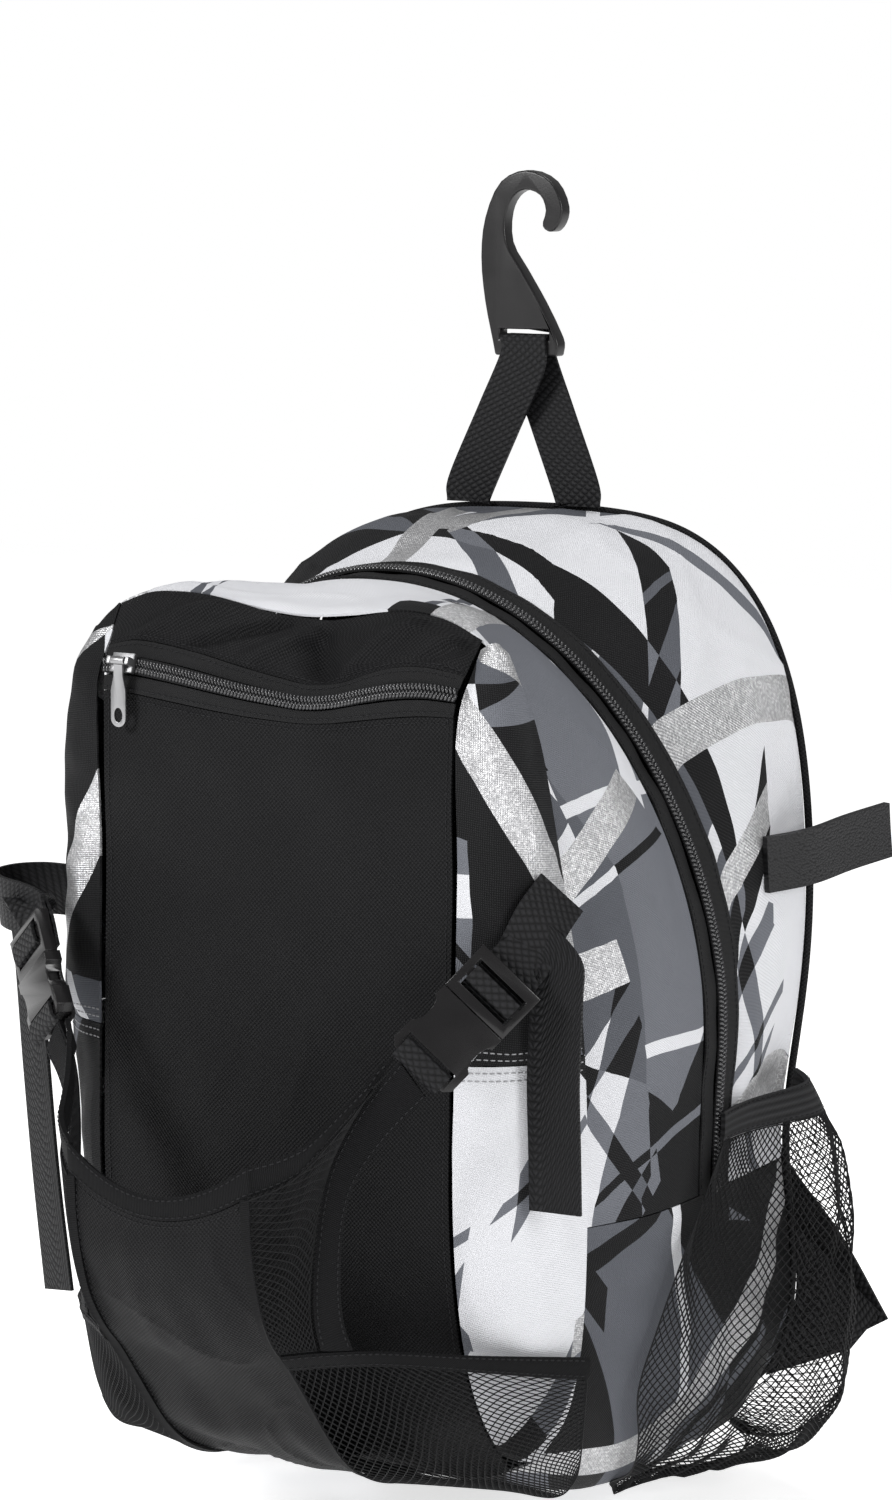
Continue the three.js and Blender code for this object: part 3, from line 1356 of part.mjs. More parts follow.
// Harness: padded straps, adjusters, lower webbing and the sewn tabs at the lower corners
const backFace = BACK_Y + SEAM_GAP + BACK_PAD;
const harness = (rows, side) =>
  rows.map((r) => ({
    at: V((r.across * BAG_WIDTH * side) / 2, backFace + r.off * STRAP_ARCH, r.height * BAG_HEIGHT),
    across: V(1, r.turn ?? 0, (r.drop ?? 0) * side).normalize(),
  }));
bothSides((side, name) => {
  add(
    `shoulder_strap_${name}`,
    band(smoothBand(harness(SHOULDER, side), 16), STRAP_WIDTH, STRAP_PAD, PAD_RING),
    CLOTH_BLACK
  );
  const lower = harness(LOWER_WEBBING, side);
  add(`lower_webbing_${name}`, band(smoothBand(lower, 12), WEBBING_WIDTH, WEBBING), WEB_BLACK);
  const holder = harness(ADJUSTER, side);
  const gone = holder[1].at.clone().sub(holder[0].at).normalize();
  const wideways = holder[0].across.clone().addScaledVector(
    gone,
    -gone.dot(holder[0].across)
  ).normalize();
  const frame = new THREE.Matrix4().makeBasis(
    wideways,
    gone.clone().cross(wideways),
    gone
  ).setPosition(holder[0].at);
  const long = holder[1].at.distanceTo(holder[0].at);
  const adjuster = cutFrom(block(WEBBING_WIDTH + 9, ADJUSTER_THICKNESS, long, V(0, 0, long / 2)), [
    block(WEBBING_WIDTH + 2, 20, BUCKLE_SLOT, V(0, 0, long * 0.3)),
    block(WEBBING_WIDTH + 2, 20, BUCKLE_SLOT, V(0, 0, long * 0.7)),
  ]);
  add(`strap_adjuster_${name}`, adjuster.applyMatrix4(frame), PLASTIC);
  const [wingTop, wingFoot] = [TAB_TOP * BAG_HEIGHT, TAB_FOOT * BAG_HEIGHT];
  const end = lower[lower.length - 1];
  const apex = (k) => end.at.clone().addScaledVector(end.across, k * side * -0.5 * WEBBING_WIDTH);
  const edge = (k) => {
    const z = mix(wingTop, wingFoot, (k + 1) / 2);
    return V(side * (sideAt(BACK_Y, z) - TAB_INSET), backFace + TAB_OFF, z);
  };
  const under = V(0, -WEBBING * 0.9, 0);
  const tabGrid = span(0, 1, 4).map(
    (k) => span(-1, 1, 2).map((m) => edge(m).lerp(apex(m).add(under), k))
  );
  add(`strap_tab_${name}`, wallSolid(tabGrid, WEBBING * side), WEB_BLACK);
});

for (const mesh of group.children) mesh.geometry.translate(-HOOK_ACROSS, -hookY, -crownZ);
export default group;
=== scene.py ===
# The looks of a child's baseball backpack that hangs from its fence hook: printed
# polyester with silver foil, black oxford cloth, knitted mesh, webbing and buckles.
# Each section makes one piece, or one group of like pieces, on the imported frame.
import math

import bpy
import numpy as np
from mathutils import Matrix, Vector


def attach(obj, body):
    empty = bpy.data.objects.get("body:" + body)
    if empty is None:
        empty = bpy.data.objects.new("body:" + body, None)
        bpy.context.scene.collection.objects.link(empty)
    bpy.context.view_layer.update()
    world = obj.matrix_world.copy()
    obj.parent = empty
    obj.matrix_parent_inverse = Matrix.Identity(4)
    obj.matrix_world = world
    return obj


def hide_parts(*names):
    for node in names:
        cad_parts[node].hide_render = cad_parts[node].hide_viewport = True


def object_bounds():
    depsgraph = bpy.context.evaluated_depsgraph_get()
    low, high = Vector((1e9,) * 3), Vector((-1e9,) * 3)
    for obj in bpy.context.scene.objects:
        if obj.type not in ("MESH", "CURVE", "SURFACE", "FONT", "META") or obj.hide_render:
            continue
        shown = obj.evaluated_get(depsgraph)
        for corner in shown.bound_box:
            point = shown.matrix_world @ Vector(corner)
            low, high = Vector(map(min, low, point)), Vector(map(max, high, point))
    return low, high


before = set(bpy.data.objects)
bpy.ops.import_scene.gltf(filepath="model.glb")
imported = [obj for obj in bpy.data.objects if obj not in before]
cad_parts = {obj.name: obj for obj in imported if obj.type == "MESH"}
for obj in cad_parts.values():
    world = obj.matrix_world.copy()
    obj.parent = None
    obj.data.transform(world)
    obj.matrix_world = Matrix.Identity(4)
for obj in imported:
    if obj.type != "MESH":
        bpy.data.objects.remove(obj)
frame_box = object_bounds()
bpy.ops.object.select_all(action="DESELECT")

# Camera, floor and light
# A long lens a little to the right of the bag's front, level with its hook, in a white
# studio: one large soft light from the upper left, a weaker one from the right.
studio = bpy.context.scene
studio.view_settings.view_transform = "Standard"
bpy.ops.object.camera_add()
camera = bpy.context.object
camera.name = "camera"
camera.matrix_world = Matrix((
    (0.849153095, -0.06774246, 0.52378429, 1.15090058),
    (0.528146637, 0.10818917, -0.84223288, -1.9244644),
    (0.000387142, 0.99181957, 0.12764713, 0.02091816),
    (0, 0, 0, 1),
))
camera.data.lens = 112.8
camera.data.sensor_width = 36
studio.camera = camera

world = bpy.data.worlds.new("white_studio")
world.use_nodes = True
sky = world.node_tree.nodes["Background"]
sky.inputs["Color"].default_value = (1, 1, 1, 1)
sky.inputs["Strength"].default_value = 0.30
backdrop = world.node_tree.nodes.new("ShaderNodeBackground")
backdrop.inputs["Color"].default_value = (1, 1, 1, 1)
backdrop.inputs["Strength"].default_value = 1.0
rays = world.node_tree.nodes.new("ShaderNodeLightPath")
either = world.node_tree.nodes.new("ShaderNodeMixShader")
world.node_tree.links.new(rays.outputs["Is Camera Ray"], either.inputs[0])
world.node_tree.links.new(sky.outputs[0], either.inputs[1])
world.node_tree.links.new(backdrop.outputs[0], either.inputs[2])
world.node_tree.links.new(either.outputs[0], world.node_tree.nodes["World Output"].inputs["Surface"])
studio.world = world

LIGHTS = [
    {"name": "key_light", "at": (-1.3, -2.4, 1.1), "size": 0.9, "watts": 62},
    {"name": "side_light", "at": (2.6, -0.9, 0.5), "size": 0.9, "watts": 30},
    {"name": "top_light", "at": (0.3, 0.2, 1.9), "size": 0.9, "watts": 18},
]
for light in LIGHTS:
    bpy.ops.object.light_add(type="AREA", location=light["at"])
    lamp = bpy.context.object
    lamp.name = light["name"]
    lamp.data.energy = light["watts"]
    lamp.data.size = light["size"]
    aim = Vector((0, -0.1, -0.35)) - lamp.location
    lamp.rotation_euler = aim.to_track_quat("-Z", "Y").to_euler()

FLOOR_GAP = 0.012
floor_height = frame_box[0][2] - FLOOR_GAP
bpy.ops.mesh.primitive_plane_add(size=8, location=(0, 0, floor_height))
floor = bpy.context.object
floor.name = "floor"
floor_paint = bpy.data.materials.new("pale_floor")
floor_paint.use_nodes = True
floor_sockets = floor_paint.node_tree.nodes["Principled BSDF"].inputs
floor_sockets["Base Color"].default_value = (0.94, 0.94, 0.94, 1)
floor_sockets["Roughness"].default_value = 0.8
floor_sockets["Emission Color"].default_value = (1, 1, 1, 1)
floor_sockets["Emission Strength"].default_value = 0.68
floor.data.materials.append(floor_paint)
bpy.ops.object.select_all(action="DESELECT")


# Gusset, front panel and boot of the drum
# Coated polyester printed in greys with bars and silver foil, cut in three panels and
# sewn inside out, so each edge rolls in at its seam.
class Signal:
    """One value in a material: Python's own signs put it through the maths nodes."""

    def __init__(self, finish, socket):
        self.finish = finish
        self.socket = socket

    def maths(self, operation, *values):
        return self.finish.node("ShaderNodeMath", {"operation": operation}, dict(enumerate(values)))

    def __add__(self, other):
        return self.maths("ADD", self, other)

    def __radd__(self, other):
        return self.maths("ADD", other, self)

    def __sub__(self, other):
        return self.maths("SUBTRACT", self, other)

    def __rsub__(self, other):
        return self.maths("SUBTRACT", other, self)

    def __mul__(self, other):
        return self.maths("MULTIPLY", self, other)

    def __rmul__(self, other):
        return self.maths("MULTIPLY", other, self)

    def __mod__(self, other):
        return self.maths("FLOORED_MODULO", self, other)

    def __lt__(self, other):
        return self.maths("LESS_THAN", self, other)

    def __gt__(self, other):
        return self.maths("GREATER_THAN", self, other)

    def __abs__(self):
        return self.maths("ABSOLUTE", self)

    def wave(self, period):
        return self.maths("SINE", self * (2 * math.pi / period))


class Finish:
    """A material being made; fixed values go straight onto the shader's sockets."""

    def __init__(self, name, **fixed):
        self.material = bpy.data.materials.new(name)
        self.material.use_nodes = True
        self.tree = self.material.node_tree
        self.shader = self.tree.nodes["Principled BSDF"]
        for socket, value in fixed.items():
            self.shader.inputs[socket.replace("_", " ")].default_value = value

    def node(self, kind, settings, sockets, output=0):
        made = self.tree.nodes.new(kind)
        for name, value in settings.items():
            if name == "stops":
                while len(made.color_ramp.elements) < len(value):
                    made.color_ramp.elements.new(0.5)
                for stop, (place, colour) in zip(made.color_ramp.elements, value):
                    stop.position = place
                    stop.color = (*colour, 1)
            elif name == "steps":
                made.color_ramp.interpolation = value
            else:
                setattr(made, name, value)
        for name, value in sockets.items():
            if isinstance(value, Signal):
                self.tree.links.new(value.socket, made.inputs[name])
            else:
                made.inputs[name].default_value = value
        return Signal(self, made.outputs[output])

    def place(self, kind="UV", turn=0.0, stretch=(1, 1, 1)):
        start = self.node("ShaderNodeTexCoord", {}, {}, kind)
        if not turn and stretch == (1, 1, 1):
            return start
        return self.node("ShaderNodeMapping", {}, {
            "Vector": start, "Rotation": (0, 0, turn), "Scale": stretch})

    def parts(self, vector):
        split = self.node("ShaderNodeSeparateXYZ", {}, {"Vector": vector}, "X")
        return [Signal(self, split.socket.node.outputs[k]) for k in "XYZ"]

    def blend(self, share, first, second):
        return self.node("ShaderNodeMix", {"data_type": "RGBA"}, {0: share, 6: first, 7: second}, 2)

    def noise(self, place, scale, detail=2.0):
        sockets = {"Vector": place, "Scale": scale, "Detail": detail}
        return self.node("ShaderNodeTexNoise", {}, sockets, "Fac")

    def cells(self, place, scale, output="Color", **settings):
        settings["voronoi_dimensions"] = "2D"
        return self.node("ShaderNodeTexVoronoi", settings, {"Vector": place, "Scale": scale}, output)

    def ramp(self, share, stops, **settings):
        settings["stops"] = stops
        return self.node("ShaderNodeValToRGB", settings, {"Fac": share}, "Color")

    def feed(self, socket, value):
        self.tree.links.new(value.socket, self.shader.inputs[socket])

    def relief(self, height, depth):
        bump = self.node("ShaderNodeBump", {}, {"Height": height, "Distance": depth, "Strength": 1.0})
        self.feed("Normal", bump)


INK_BLACK = (0.002475, 0.002475, 0.00275)
INK_DARK = (0.0875, 0.0924, 0.1064)
INK_MID = (0.1333, 0.1395, 0.1581)
INK_PALE = (0.6512, 0.6556, 0.682)
WEAVE = 0.0014


def printed_cloth():
    """Shards and bars of four inks with bands of foil, all in the cloth's own metres."""
    cloth = Finish("printed_cloth", Specular_IOR_Level=0.09)
    u, v, _ = cloth.parts(cloth.place())
    weave = u.wave(WEAVE) * v.wave(WEAVE)
    shard = cloth.cells(cloth.place(turn=0.42, stretch=(1, 0.5, 1)), 9.5, distance="MANHATTAN")
    pick = cloth.parts(shard)[0]
    zone = cloth.cells(cloth.place(turn=-0.7, stretch=(1, 0.7, 1)), 8.0, distance="CHEBYCHEV")
    zone_a, zone_b, zone_c = cloth.parts(zone)
    bars = [
        {"turn": 1.05, "pitch": 0.066, "width": 0.013, "zone": zone_a, "over": 0.60, "jump": 0.43},
        {"turn": 0.62, "pitch": 0.083, "width": 0.019, "zone": zone_b, "over": 0.50, "jump": 0.61},
        {"turn": -0.35, "pitch": 0.091, "width": 0.008, "zone": zone_c, "over": 0.58, "jump": 0.37},
        {"turn": 1.45, "pitch": 0.124, "width": 0.0045, "zone": zone_a, "over": 0.45, "jump": 0.47},
    ]
    for bar in bars:
        across = cloth.parts(cloth.place(turn=bar["turn"]))[0]
        inside = ((across % bar["pitch"]) < bar["width"]) * (bar["zone"] > bar["over"])
        pick = (pick + inside * bar["jump"]) % 1.0
    rings = cloth.node("ShaderNodeVectorMath", {"operation": "DISTANCE"},
                       {0: cloth.place(), 1: (0.31, -0.42, 0)}, "Value")
    arc = ((rings % 0.117) < 0.0065) * (zone_b < 0.55)
    pick = (pick + arc * 0.5) % 1.0
    ink = cloth.ramp(pick, [
        (0.0, INK_BLACK), (0.27, INK_PALE), (0.43, INK_DARK),
        (0.56, INK_BLACK), (0.66, INK_MID), (0.80, INK_PALE)], steps="CONSTANT")
    band_line = cloth.parts(cloth.place(turn=0.16))[1]
    foil = ((band_line % 0.173) < 0.021) * (zone_c > 0.36)
    foil_line = cloth.parts(cloth.place(turn=1.22))[0]
    foil = foil.maths("MAXIMUM", foil, ((foil_line % 0.241) < 0.017) * (zone_a > 0.45))
    # The foil's sparkle is painted: random bright cells in its colour stand in for glints.
    painted_glints = cloth.parts(cloth.cells(cloth.place(), 1150.0))[1]
    silver = cloth.ramp(painted_glints * 0.75 + weave * 0.25, [
        (0.0, (0.34, 0.34, 0.35)), (0.6, (0.55, 0.55, 0.56)), (1.0, (0.86, 0.86, 0.86))])
    soil = cloth.noise(cloth.place("Object"), 7.0, 4.0)
    worn = cloth.blend(soil * 0.03, ink, (0.35, 0.355, 0.37, 1))
    thread = cloth.blend((weave > 0.35) * 0.018, worn, (0.75, 0.75, 0.78, 1))
    cloth.feed("Base Color", cloth.blend(foil, thread, silver))
    cloth.feed("Metallic", foil * 0.65)
    cloth.feed("Roughness", 0.62 - foil * 0.26 - soil * 0.08)
    cloth.relief(weave + soil * 3.0, 0.00013)
    return cloth.material


MERGE_DISTANCE = 2e-5


def joined(node):
    """The corners and triangles of a frame node, with the corners that meet made one."""
    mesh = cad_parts[node].data
    places = np.array([corner.co for corner in mesh.vertices])
    cells = np.round(places / MERGE_DISTANCE).astype(int)
    _, first, same = np.unique(cells, axis=0, return_index=True, return_inverse=True)
    same = same.reshape(-1)
    faces = [tuple(int(same[i]) for i in face.vertices) for face in mesh.polygons]
    return places[first], [face for face in faces if len(set(face)) == 3]


BAG_MIDDLE = np.array((0.0046, -0.10, -0.36))


def wall(node, rows, columns, along, across):
    """The outer face of a sewn wall of the frame, as rows and columns of points."""
    places, faces = joined(node)
    third, facing = {}, {}
    for face in faces:
        a, b, c = places[list(face)]
        normal = np.cross(b - a, c - a)
        normal /= np.linalg.norm(normal) + 1e-18
        for k in range(3):
            edge = face[k], face[(k + 1) % 3]
            third[edge] = face[(k + 2) % 3]
            facing[edge] = normal
    rim = [e for e in facing if e[::-1] in facing and facing[e] @ facing[e[::-1]] < 0.75]
    found = []
    for turned in (False, True):
        def turn(a, b):
            return third.get((b, a) if turned else (a, b), -1)

        sharp = {e[::-1] for e in rim} if turned else set(rim)
        for start in sharp:
            grid = -np.ones((rows, columns), int)
            grid[0, 0], grid[1, 0] = start
            grid[1, 1] = turn(*start)
            grid[0, 1] = turn(grid[0, 0], grid[1, 1])
            if (grid[0, 1], grid[0, 0]) not in sharp:
                continue
            for i in range(rows - 1):
                for j in range(columns - 1):
                    if grid[i + 1, j] < 0:
                        grid[i + 1, j + 1] = turn(grid[i, j + 1], grid[i, j])
                        grid[i + 1, j] = turn(grid[i + 1, j + 1], grid[i, j])
                    if grid[i + 1, j + 1] < 0:
                        grid[i + 1, j + 1] = turn(grid[i, j], grid[i + 1, j])
                    if grid[i, j + 1] < 0:
                        grid[i, j + 1] = turn(grid[i, j], grid[i + 1, j + 1])
            if grid.min() < 0 or len(set(grid.flat)) < rows * columns:
                continue
            points = places[grid]
            cells = np.cross(points[1:, 1:] - points[:-1, :-1], points[:-1, 1:] - points[1:, :-1]) / 2
            size = np.linalg.norm(cells, axis=2)
            unit = cells / (size[..., None] + 1e-18)
            rough = ((1 - (unit[1:] * unit[:-1]).sum(-1)).sum()
                     + (1 - (unit[:, 1:] * unit[:, :-1]).sum(-1)).sum())
            middle = (points[:-1, :-1] + points[1:, 1:]) / 2
            outward = (cells * (middle - BAG_MIDDLE)).sum() * (-1 if turned else 1)
            if outward > 0:
                found.append((round(size.sum() - 3 * rough * size.mean(), 9), points))
    found.sort(key=lambda pair: -pair[0])
    scores = [score for score, _ in found]
    points = next(points for score, points in found if scores.count(score) > 1)
    if (points[-1] - points[0]).mean(0) @ np.array(along) < 0:
        points = points[::-1]
    if (points[:, -1] - points[:, 0]).mean(0) @ np.array(across) < 0:
        points = points[:, ::-1]
    return points


def smooth_line(points, count):
    """More points along the first axis, on a smooth curve through those given."""
    last = len(points) - 1
    at = np.linspace(0, last, count)
    k = np.minimum(at.astype(int), last - 1)
    t = (at - k).reshape(-1, *[1] * (points.ndim - 1))
    ends = np.concatenate([2 * points[:1] - points[1:2], points, 2 * points[-1:] - points[-2:-1]])
    a, b, c, d = ends[k], ends[k + 1], ends[k + 2], ends[k + 3]
    return 0.5 * (2 * b + (c - a) * t + (2 * a - 5 * b + 4 * c - d) * t ** 2
                  + (3 * b - a - 3 * c + d) * t ** 3)


def fine_grid(points, step):
    """The wall's points again, about one step apart both ways."""
    down = np.linalg.norm(np.diff(points, axis=0), axis=2).sum(0).max()
    over = np.linalg.norm(np.diff(points, axis=1), axis=2).sum(1).max()
    rows = max(3, int(down / step) + 1)
    columns = max(3, int(over / step) + 1)
    wide = smooth_line(points, rows)
    return smooth_line(wide.transpose(1, 0, 2), columns).transpose(1, 0, 2)


def facing_out(grid):
    """The outward normal at each point of a grid."""
    normals = np.cross(np.gradient(grid, axis=0), np.gradient(grid, axis=1))
    normals /= np.linalg.norm(normals, axis=2, keepdims=True) + 1e-12
    if (normals * (grid - BAG_MIDDLE)).sum() < 0:
        normals = -normals
    return normals


def from_edges(grid):
    """How far along the cloth each point lies from the first column and the first row."""
    over = np.cumsum(np.linalg.norm(np.diff(grid, axis=1, prepend=grid[:, :1]), axis=2), axis=1)
    down = np.cumsum(np.linalg.norm(np.diff(grid, axis=0, prepend=grid[:1]), axis=2), axis=0)
    return over, down


def cloth_metres(grid):
    """How far each point lies along the cloth from its middle, across and down."""
    over, down = from_edges(grid)
    return over - over[:, over.shape[1] // 2][:, None], down - down[len(down) // 2]


def slack(grid, length, seed):
    """Soft waves of about that length all over, from -1 to 1 or so."""
    dice = np.random.default_rng(seed)
    total = np.zeros(grid.shape[:2])
    for _ in range(14):
        way = dice.normal(size=3)
        way *= dice.uniform(0.7, 1.4) * 2 * math.pi / (length * np.linalg.norm(way))
        total += np.sin(grid @ way + dice.uniform(0, 6.3))
    return total / math.sqrt(7)


ROLL_REACH = 0.0032


def seam_roll(grid, depth):
    """How far the cloth turns in beside each of its sewn edges."""
    over, down = from_edges(grid)
    near = np.minimum(np.minimum(down, down[-1:] - down), np.minimum(over, over[:, -1:] - over))
    return -depth * np.exp(-((near / ROLL_REACH) ** 2))


def new_piece(name, corners, faces, finish):
    """A mesh object in one finish, made the active one."""
    mesh = bpy.data.meshes.new(name)
    mesh.from_pydata(corners.tolist(), [], faces)
    mesh.materials.append(finish)
    piece = bpy.data.objects.new(name, mesh)
    bpy.context.collection.objects.link(piece)
    bpy.context.view_layer.objects.active = piece
    return piece


def changed(piece, name, kind, **settings):
    """The piece with one modifier applied to it."""
    modifier = piece.modifiers.new(name, kind)
    for setting, value in settings.items():
        setattr(modifier, setting, value)
    bpy.ops.object.modifier_apply(modifier=modifier.name)
    return piece


SHARP_ANGLE = math.radians(50)


def sheet(name, grid, finish, thickness, shift=(0, 0), turn=0.0, flipped=False):
    """A sheet of quads on a grid, with its size in metres as UVs, made thick inwards."""
    rows, columns, _ = grid.shape
    index = np.arange(rows * columns).reshape(rows, columns)
    corners = [index[:-1, :-1], index[1:, :-1], index[1:, 1:], index[:-1, 1:]]
    quads = np.stack(corners, axis=-1).reshape(-1, 4)
    if flipped:
        quads = quads[:, ::-1]
    piece = new_piece(name, grid.reshape(-1, 3), quads.tolist(), finish)
    over, down = (metres.ravel() for metres in cloth_metres(grid))
    flat = np.stack([over * math.cos(turn) - down * math.sin(turn) + shift[0],
                     over * math.sin(turn) + down * math.cos(turn) + shift[1]], axis=-1)
    piece.data.uv_layers.new(name="cloth").data.foreach_set("uv", flat[quads.ravel()].ravel())
    changed(piece, "thickness", "SOLIDIFY", thickness=thickness, offset=-1)
    piece.data.shade_smooth()
    piece.data.set_sharp_from_angle(angle=SHARP_ANGLE)
    return piece


def cloth_mesh(name, grid, finish, thickness, shift=(0, 0), turn=0.0):
    """A sheet that faces out of the bag."""
    normals = np.cross(np.gradient(grid, axis=0), np.gradient(grid, axis=1))
    inward = (normals * facing_out(grid)).sum() < 0
    return sheet(name, grid, finish, thickness, shift, turn, inward)


def finished(piece, slot, *nodes, body="bag"):
    """The piece takes its nodes' place and rides with its body; its slot is not used."""
    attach(piece, body)
    if nodes:
        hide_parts(*nodes)
    return piece


CLOTH = 0.0012


def sewn_panel(node, coarse, finish, slot, step, roll, waves, sink, crease=None, folds=None,
               shift=(0, 0), turn=0.0):
    """A panel's cloth on its wall: rolled seams, soft waves, and creases or folds."""
    grid = fine_grid(coarse, step)
    rolled = seam_roll(grid, roll)
    height = sum(slack(grid, length, seed) * high for length, seed, high in waves)
    if folds:
        height = height + fold_height(grid, folds)
    if crease:
        length, seed, narrow, high = crease
        height = height + np.exp(-((slack(grid, length, seed) / narrow) ** 2)) * high
    grid = grid + facing_out(grid) * (rolled + (1 + rolled / roll) * (height - sink))[..., None]
    finished(cloth_mesh(node + "_cloth", grid, finish, CLOTH, shift, turn), slot, node)
    return grid


def shares(grid):
    """How far down and how far across the grid each point is, from 0 to 1."""
    rows, columns = grid.shape[:2]
    return np.meshgrid(np.linspace(0, 1, rows), np.linspace(0, 1, columns), indexing="ij")


def fold_height(grid, folds):
    """Ridges, or valleys where height is below 0, each along its own line."""
    i, j = shares(grid)
    total = np.zeros_like(i)
    for fold in folds:
        (a, b), (c, d) = fold["from"], fold["to"]
        way = np.array((c - a, d - b))
        t = np.clip(((i - a) * way[0] + (j - b) * way[1]) / (way @ way), 0, 1)
        off = np.hypot(i - a - t * way[0], (j - b - t * way[1]) * 0.35)
        total += fold["height"] * np.exp(-((off / fold["width"]) ** 2))
    return total


printed = printed_cloth()
DRUM = [
    {"node": "gusset", "shift": (0.0, 0.02), "turn": 0.12, "wave": 0.0016, "seed": 3},
    {"node": "front_panel", "shift": (0.37, 0.23), "turn": -0.3, "wave": 0.0010, "seed": 5},
]
for panel in DRUM:
    coarse = wall(panel["node"], 31, 5, (1, 0, 0), (0, -1, 0))
    seed, wave = panel["seed"], panel["wave"]
    sewn_panel(panel["node"], coarse, printed, "printed_fabric", step=0.0034, roll=0.0011,
               waves=[(0.085, seed, wave), (0.030, seed + 40, wave * 0.22)], sink=0.0012,
               crease=(0.12, seed + 80, 0.10, 0.0007), shift=panel["shift"], turn=panel["turn"])
sewn_panel("boot", wall("boot", 17, 9, (1, 0, 0), (0, -1, 0)), printed, "printed_fabric",
           step=0.0036, roll=0.0011, waves=[(0.07, 11, 0.0011), (0.028, 12, 0.0004)], sink=0.0010,
           shift=(0.71, 0.46), turn=0.5)


# Front pocket's side panels
# The same printed cloth, padded out from the drum to the pocket's face. Each side has an
# upper and a lower piece that meet at a seam across, with two rows of stitches on it.
STITCH_PITCH = 0.0031
STITCH_LENGTH = 0.0024
STITCH_WIDTH = 0.0007


def stitch_run(name, line, up, thread, length=STITCH_LENGTH):
    """A row of stitches: small round-ended beads that lie along a line on the cloth."""
    steps = np.linalg.norm(np.diff(line, axis=0), axis=1)
    along = np.concatenate([[0], np.cumsum(steps)])
    centres = np.arange(STITCH_PITCH / 2, along[-1] - STITCH_PITCH / 2, STITCH_PITCH)
    at = np.stack([np.interp(centres, along, line[:, k]) for k in range(3)], axis=1)
    onward = centres + STITCH_PITCH / 3
    ahead = np.stack([np.interp(onward, along, line[:, k]) for k in range(3)], axis=1) - at
    ahead /= np.linalg.norm(ahead, axis=1, keepdims=True) + 1e-12
    high = np.stack([np.interp(centres, along, up[:, k]) for k in range(3)], axis=1)
    high -= ahead * (high * ahead).sum(1, keepdims=True)
    high /= np.linalg.norm(high, axis=1, keepdims=True) + 1e-12
    side = np.cross(ahead, high)
    ring = [(-0.5, 0, 0), (-0.34, 1, 0.2), (-0.34, 0, 1), (-0.34, -1, 0.2),
            (0.34, 1, 0.2), (0.34, 0, 1), (0.34, -1, 0.2), (0.5, 0, 0)]
    corners = np.concatenate([
        at + ahead * (a * length) + side * (b * STITCH_WIDTH / 2) + high * (c * STITCH_WIDTH * 0.55)
        for a, b, c in ring]).reshape(len(ring), -1, 3).transpose(1, 0, 2).reshape(-1, 3)
    bead = [(0, 1, 2), (0, 2, 3), (0, 3, 1), (1, 4, 5), (1, 5, 2), (2, 5, 6),
            (2, 6, 3), (3, 6, 4), (3, 4, 1), (7, 5, 4), (7, 6, 5), (7, 4, 6)]
    faces = [tuple(i + 8 * n for i in face) for n in range(len(centres)) for face in bead]
    piece = new_piece(name, corners, faces, thread)
    piece.data.shade_smooth()
    return piece


def beside(grid, edge, inset):
    """A line on the grid that runs one inset in from an edge, with its normals."""
    ways = {"first_row": grid, "last_row": grid[::-1],
            "first_column": grid.transpose(1, 0, 2), "last_column": grid[:, ::-1].transpose(1, 0, 2)}
    turned = ways[edge]
    normals = facing_out(turned)
    gone = np.cumsum(np.linalg.norm(np.diff(turned, axis=0, prepend=turned[:1]), axis=2), axis=0)
    line = np.zeros((turned.shape[1], 3))
    up = np.zeros_like(line)
    for j in range(turned.shape[1]):
        for k in range(3):
            line[j, k] = np.interp(inset, gone[:, j], turned[:, j, k])
            up[j, k] = np.interp(inset, gone[:, j], normals[:, j, k])
    return line, up


def thread_finish(name, colour):
    thread = Finish(name, Roughness=0.6, Specular_IOR_Level=0.16)
    soft = thread.noise(thread.place("Object"), 900.0, 1.0)
    bright = [c * 1.8 for c in colour]
    thread.feed("Base Color", thread.blend(soft, (*colour, 1), (*bright, 1)))
    return thread.material


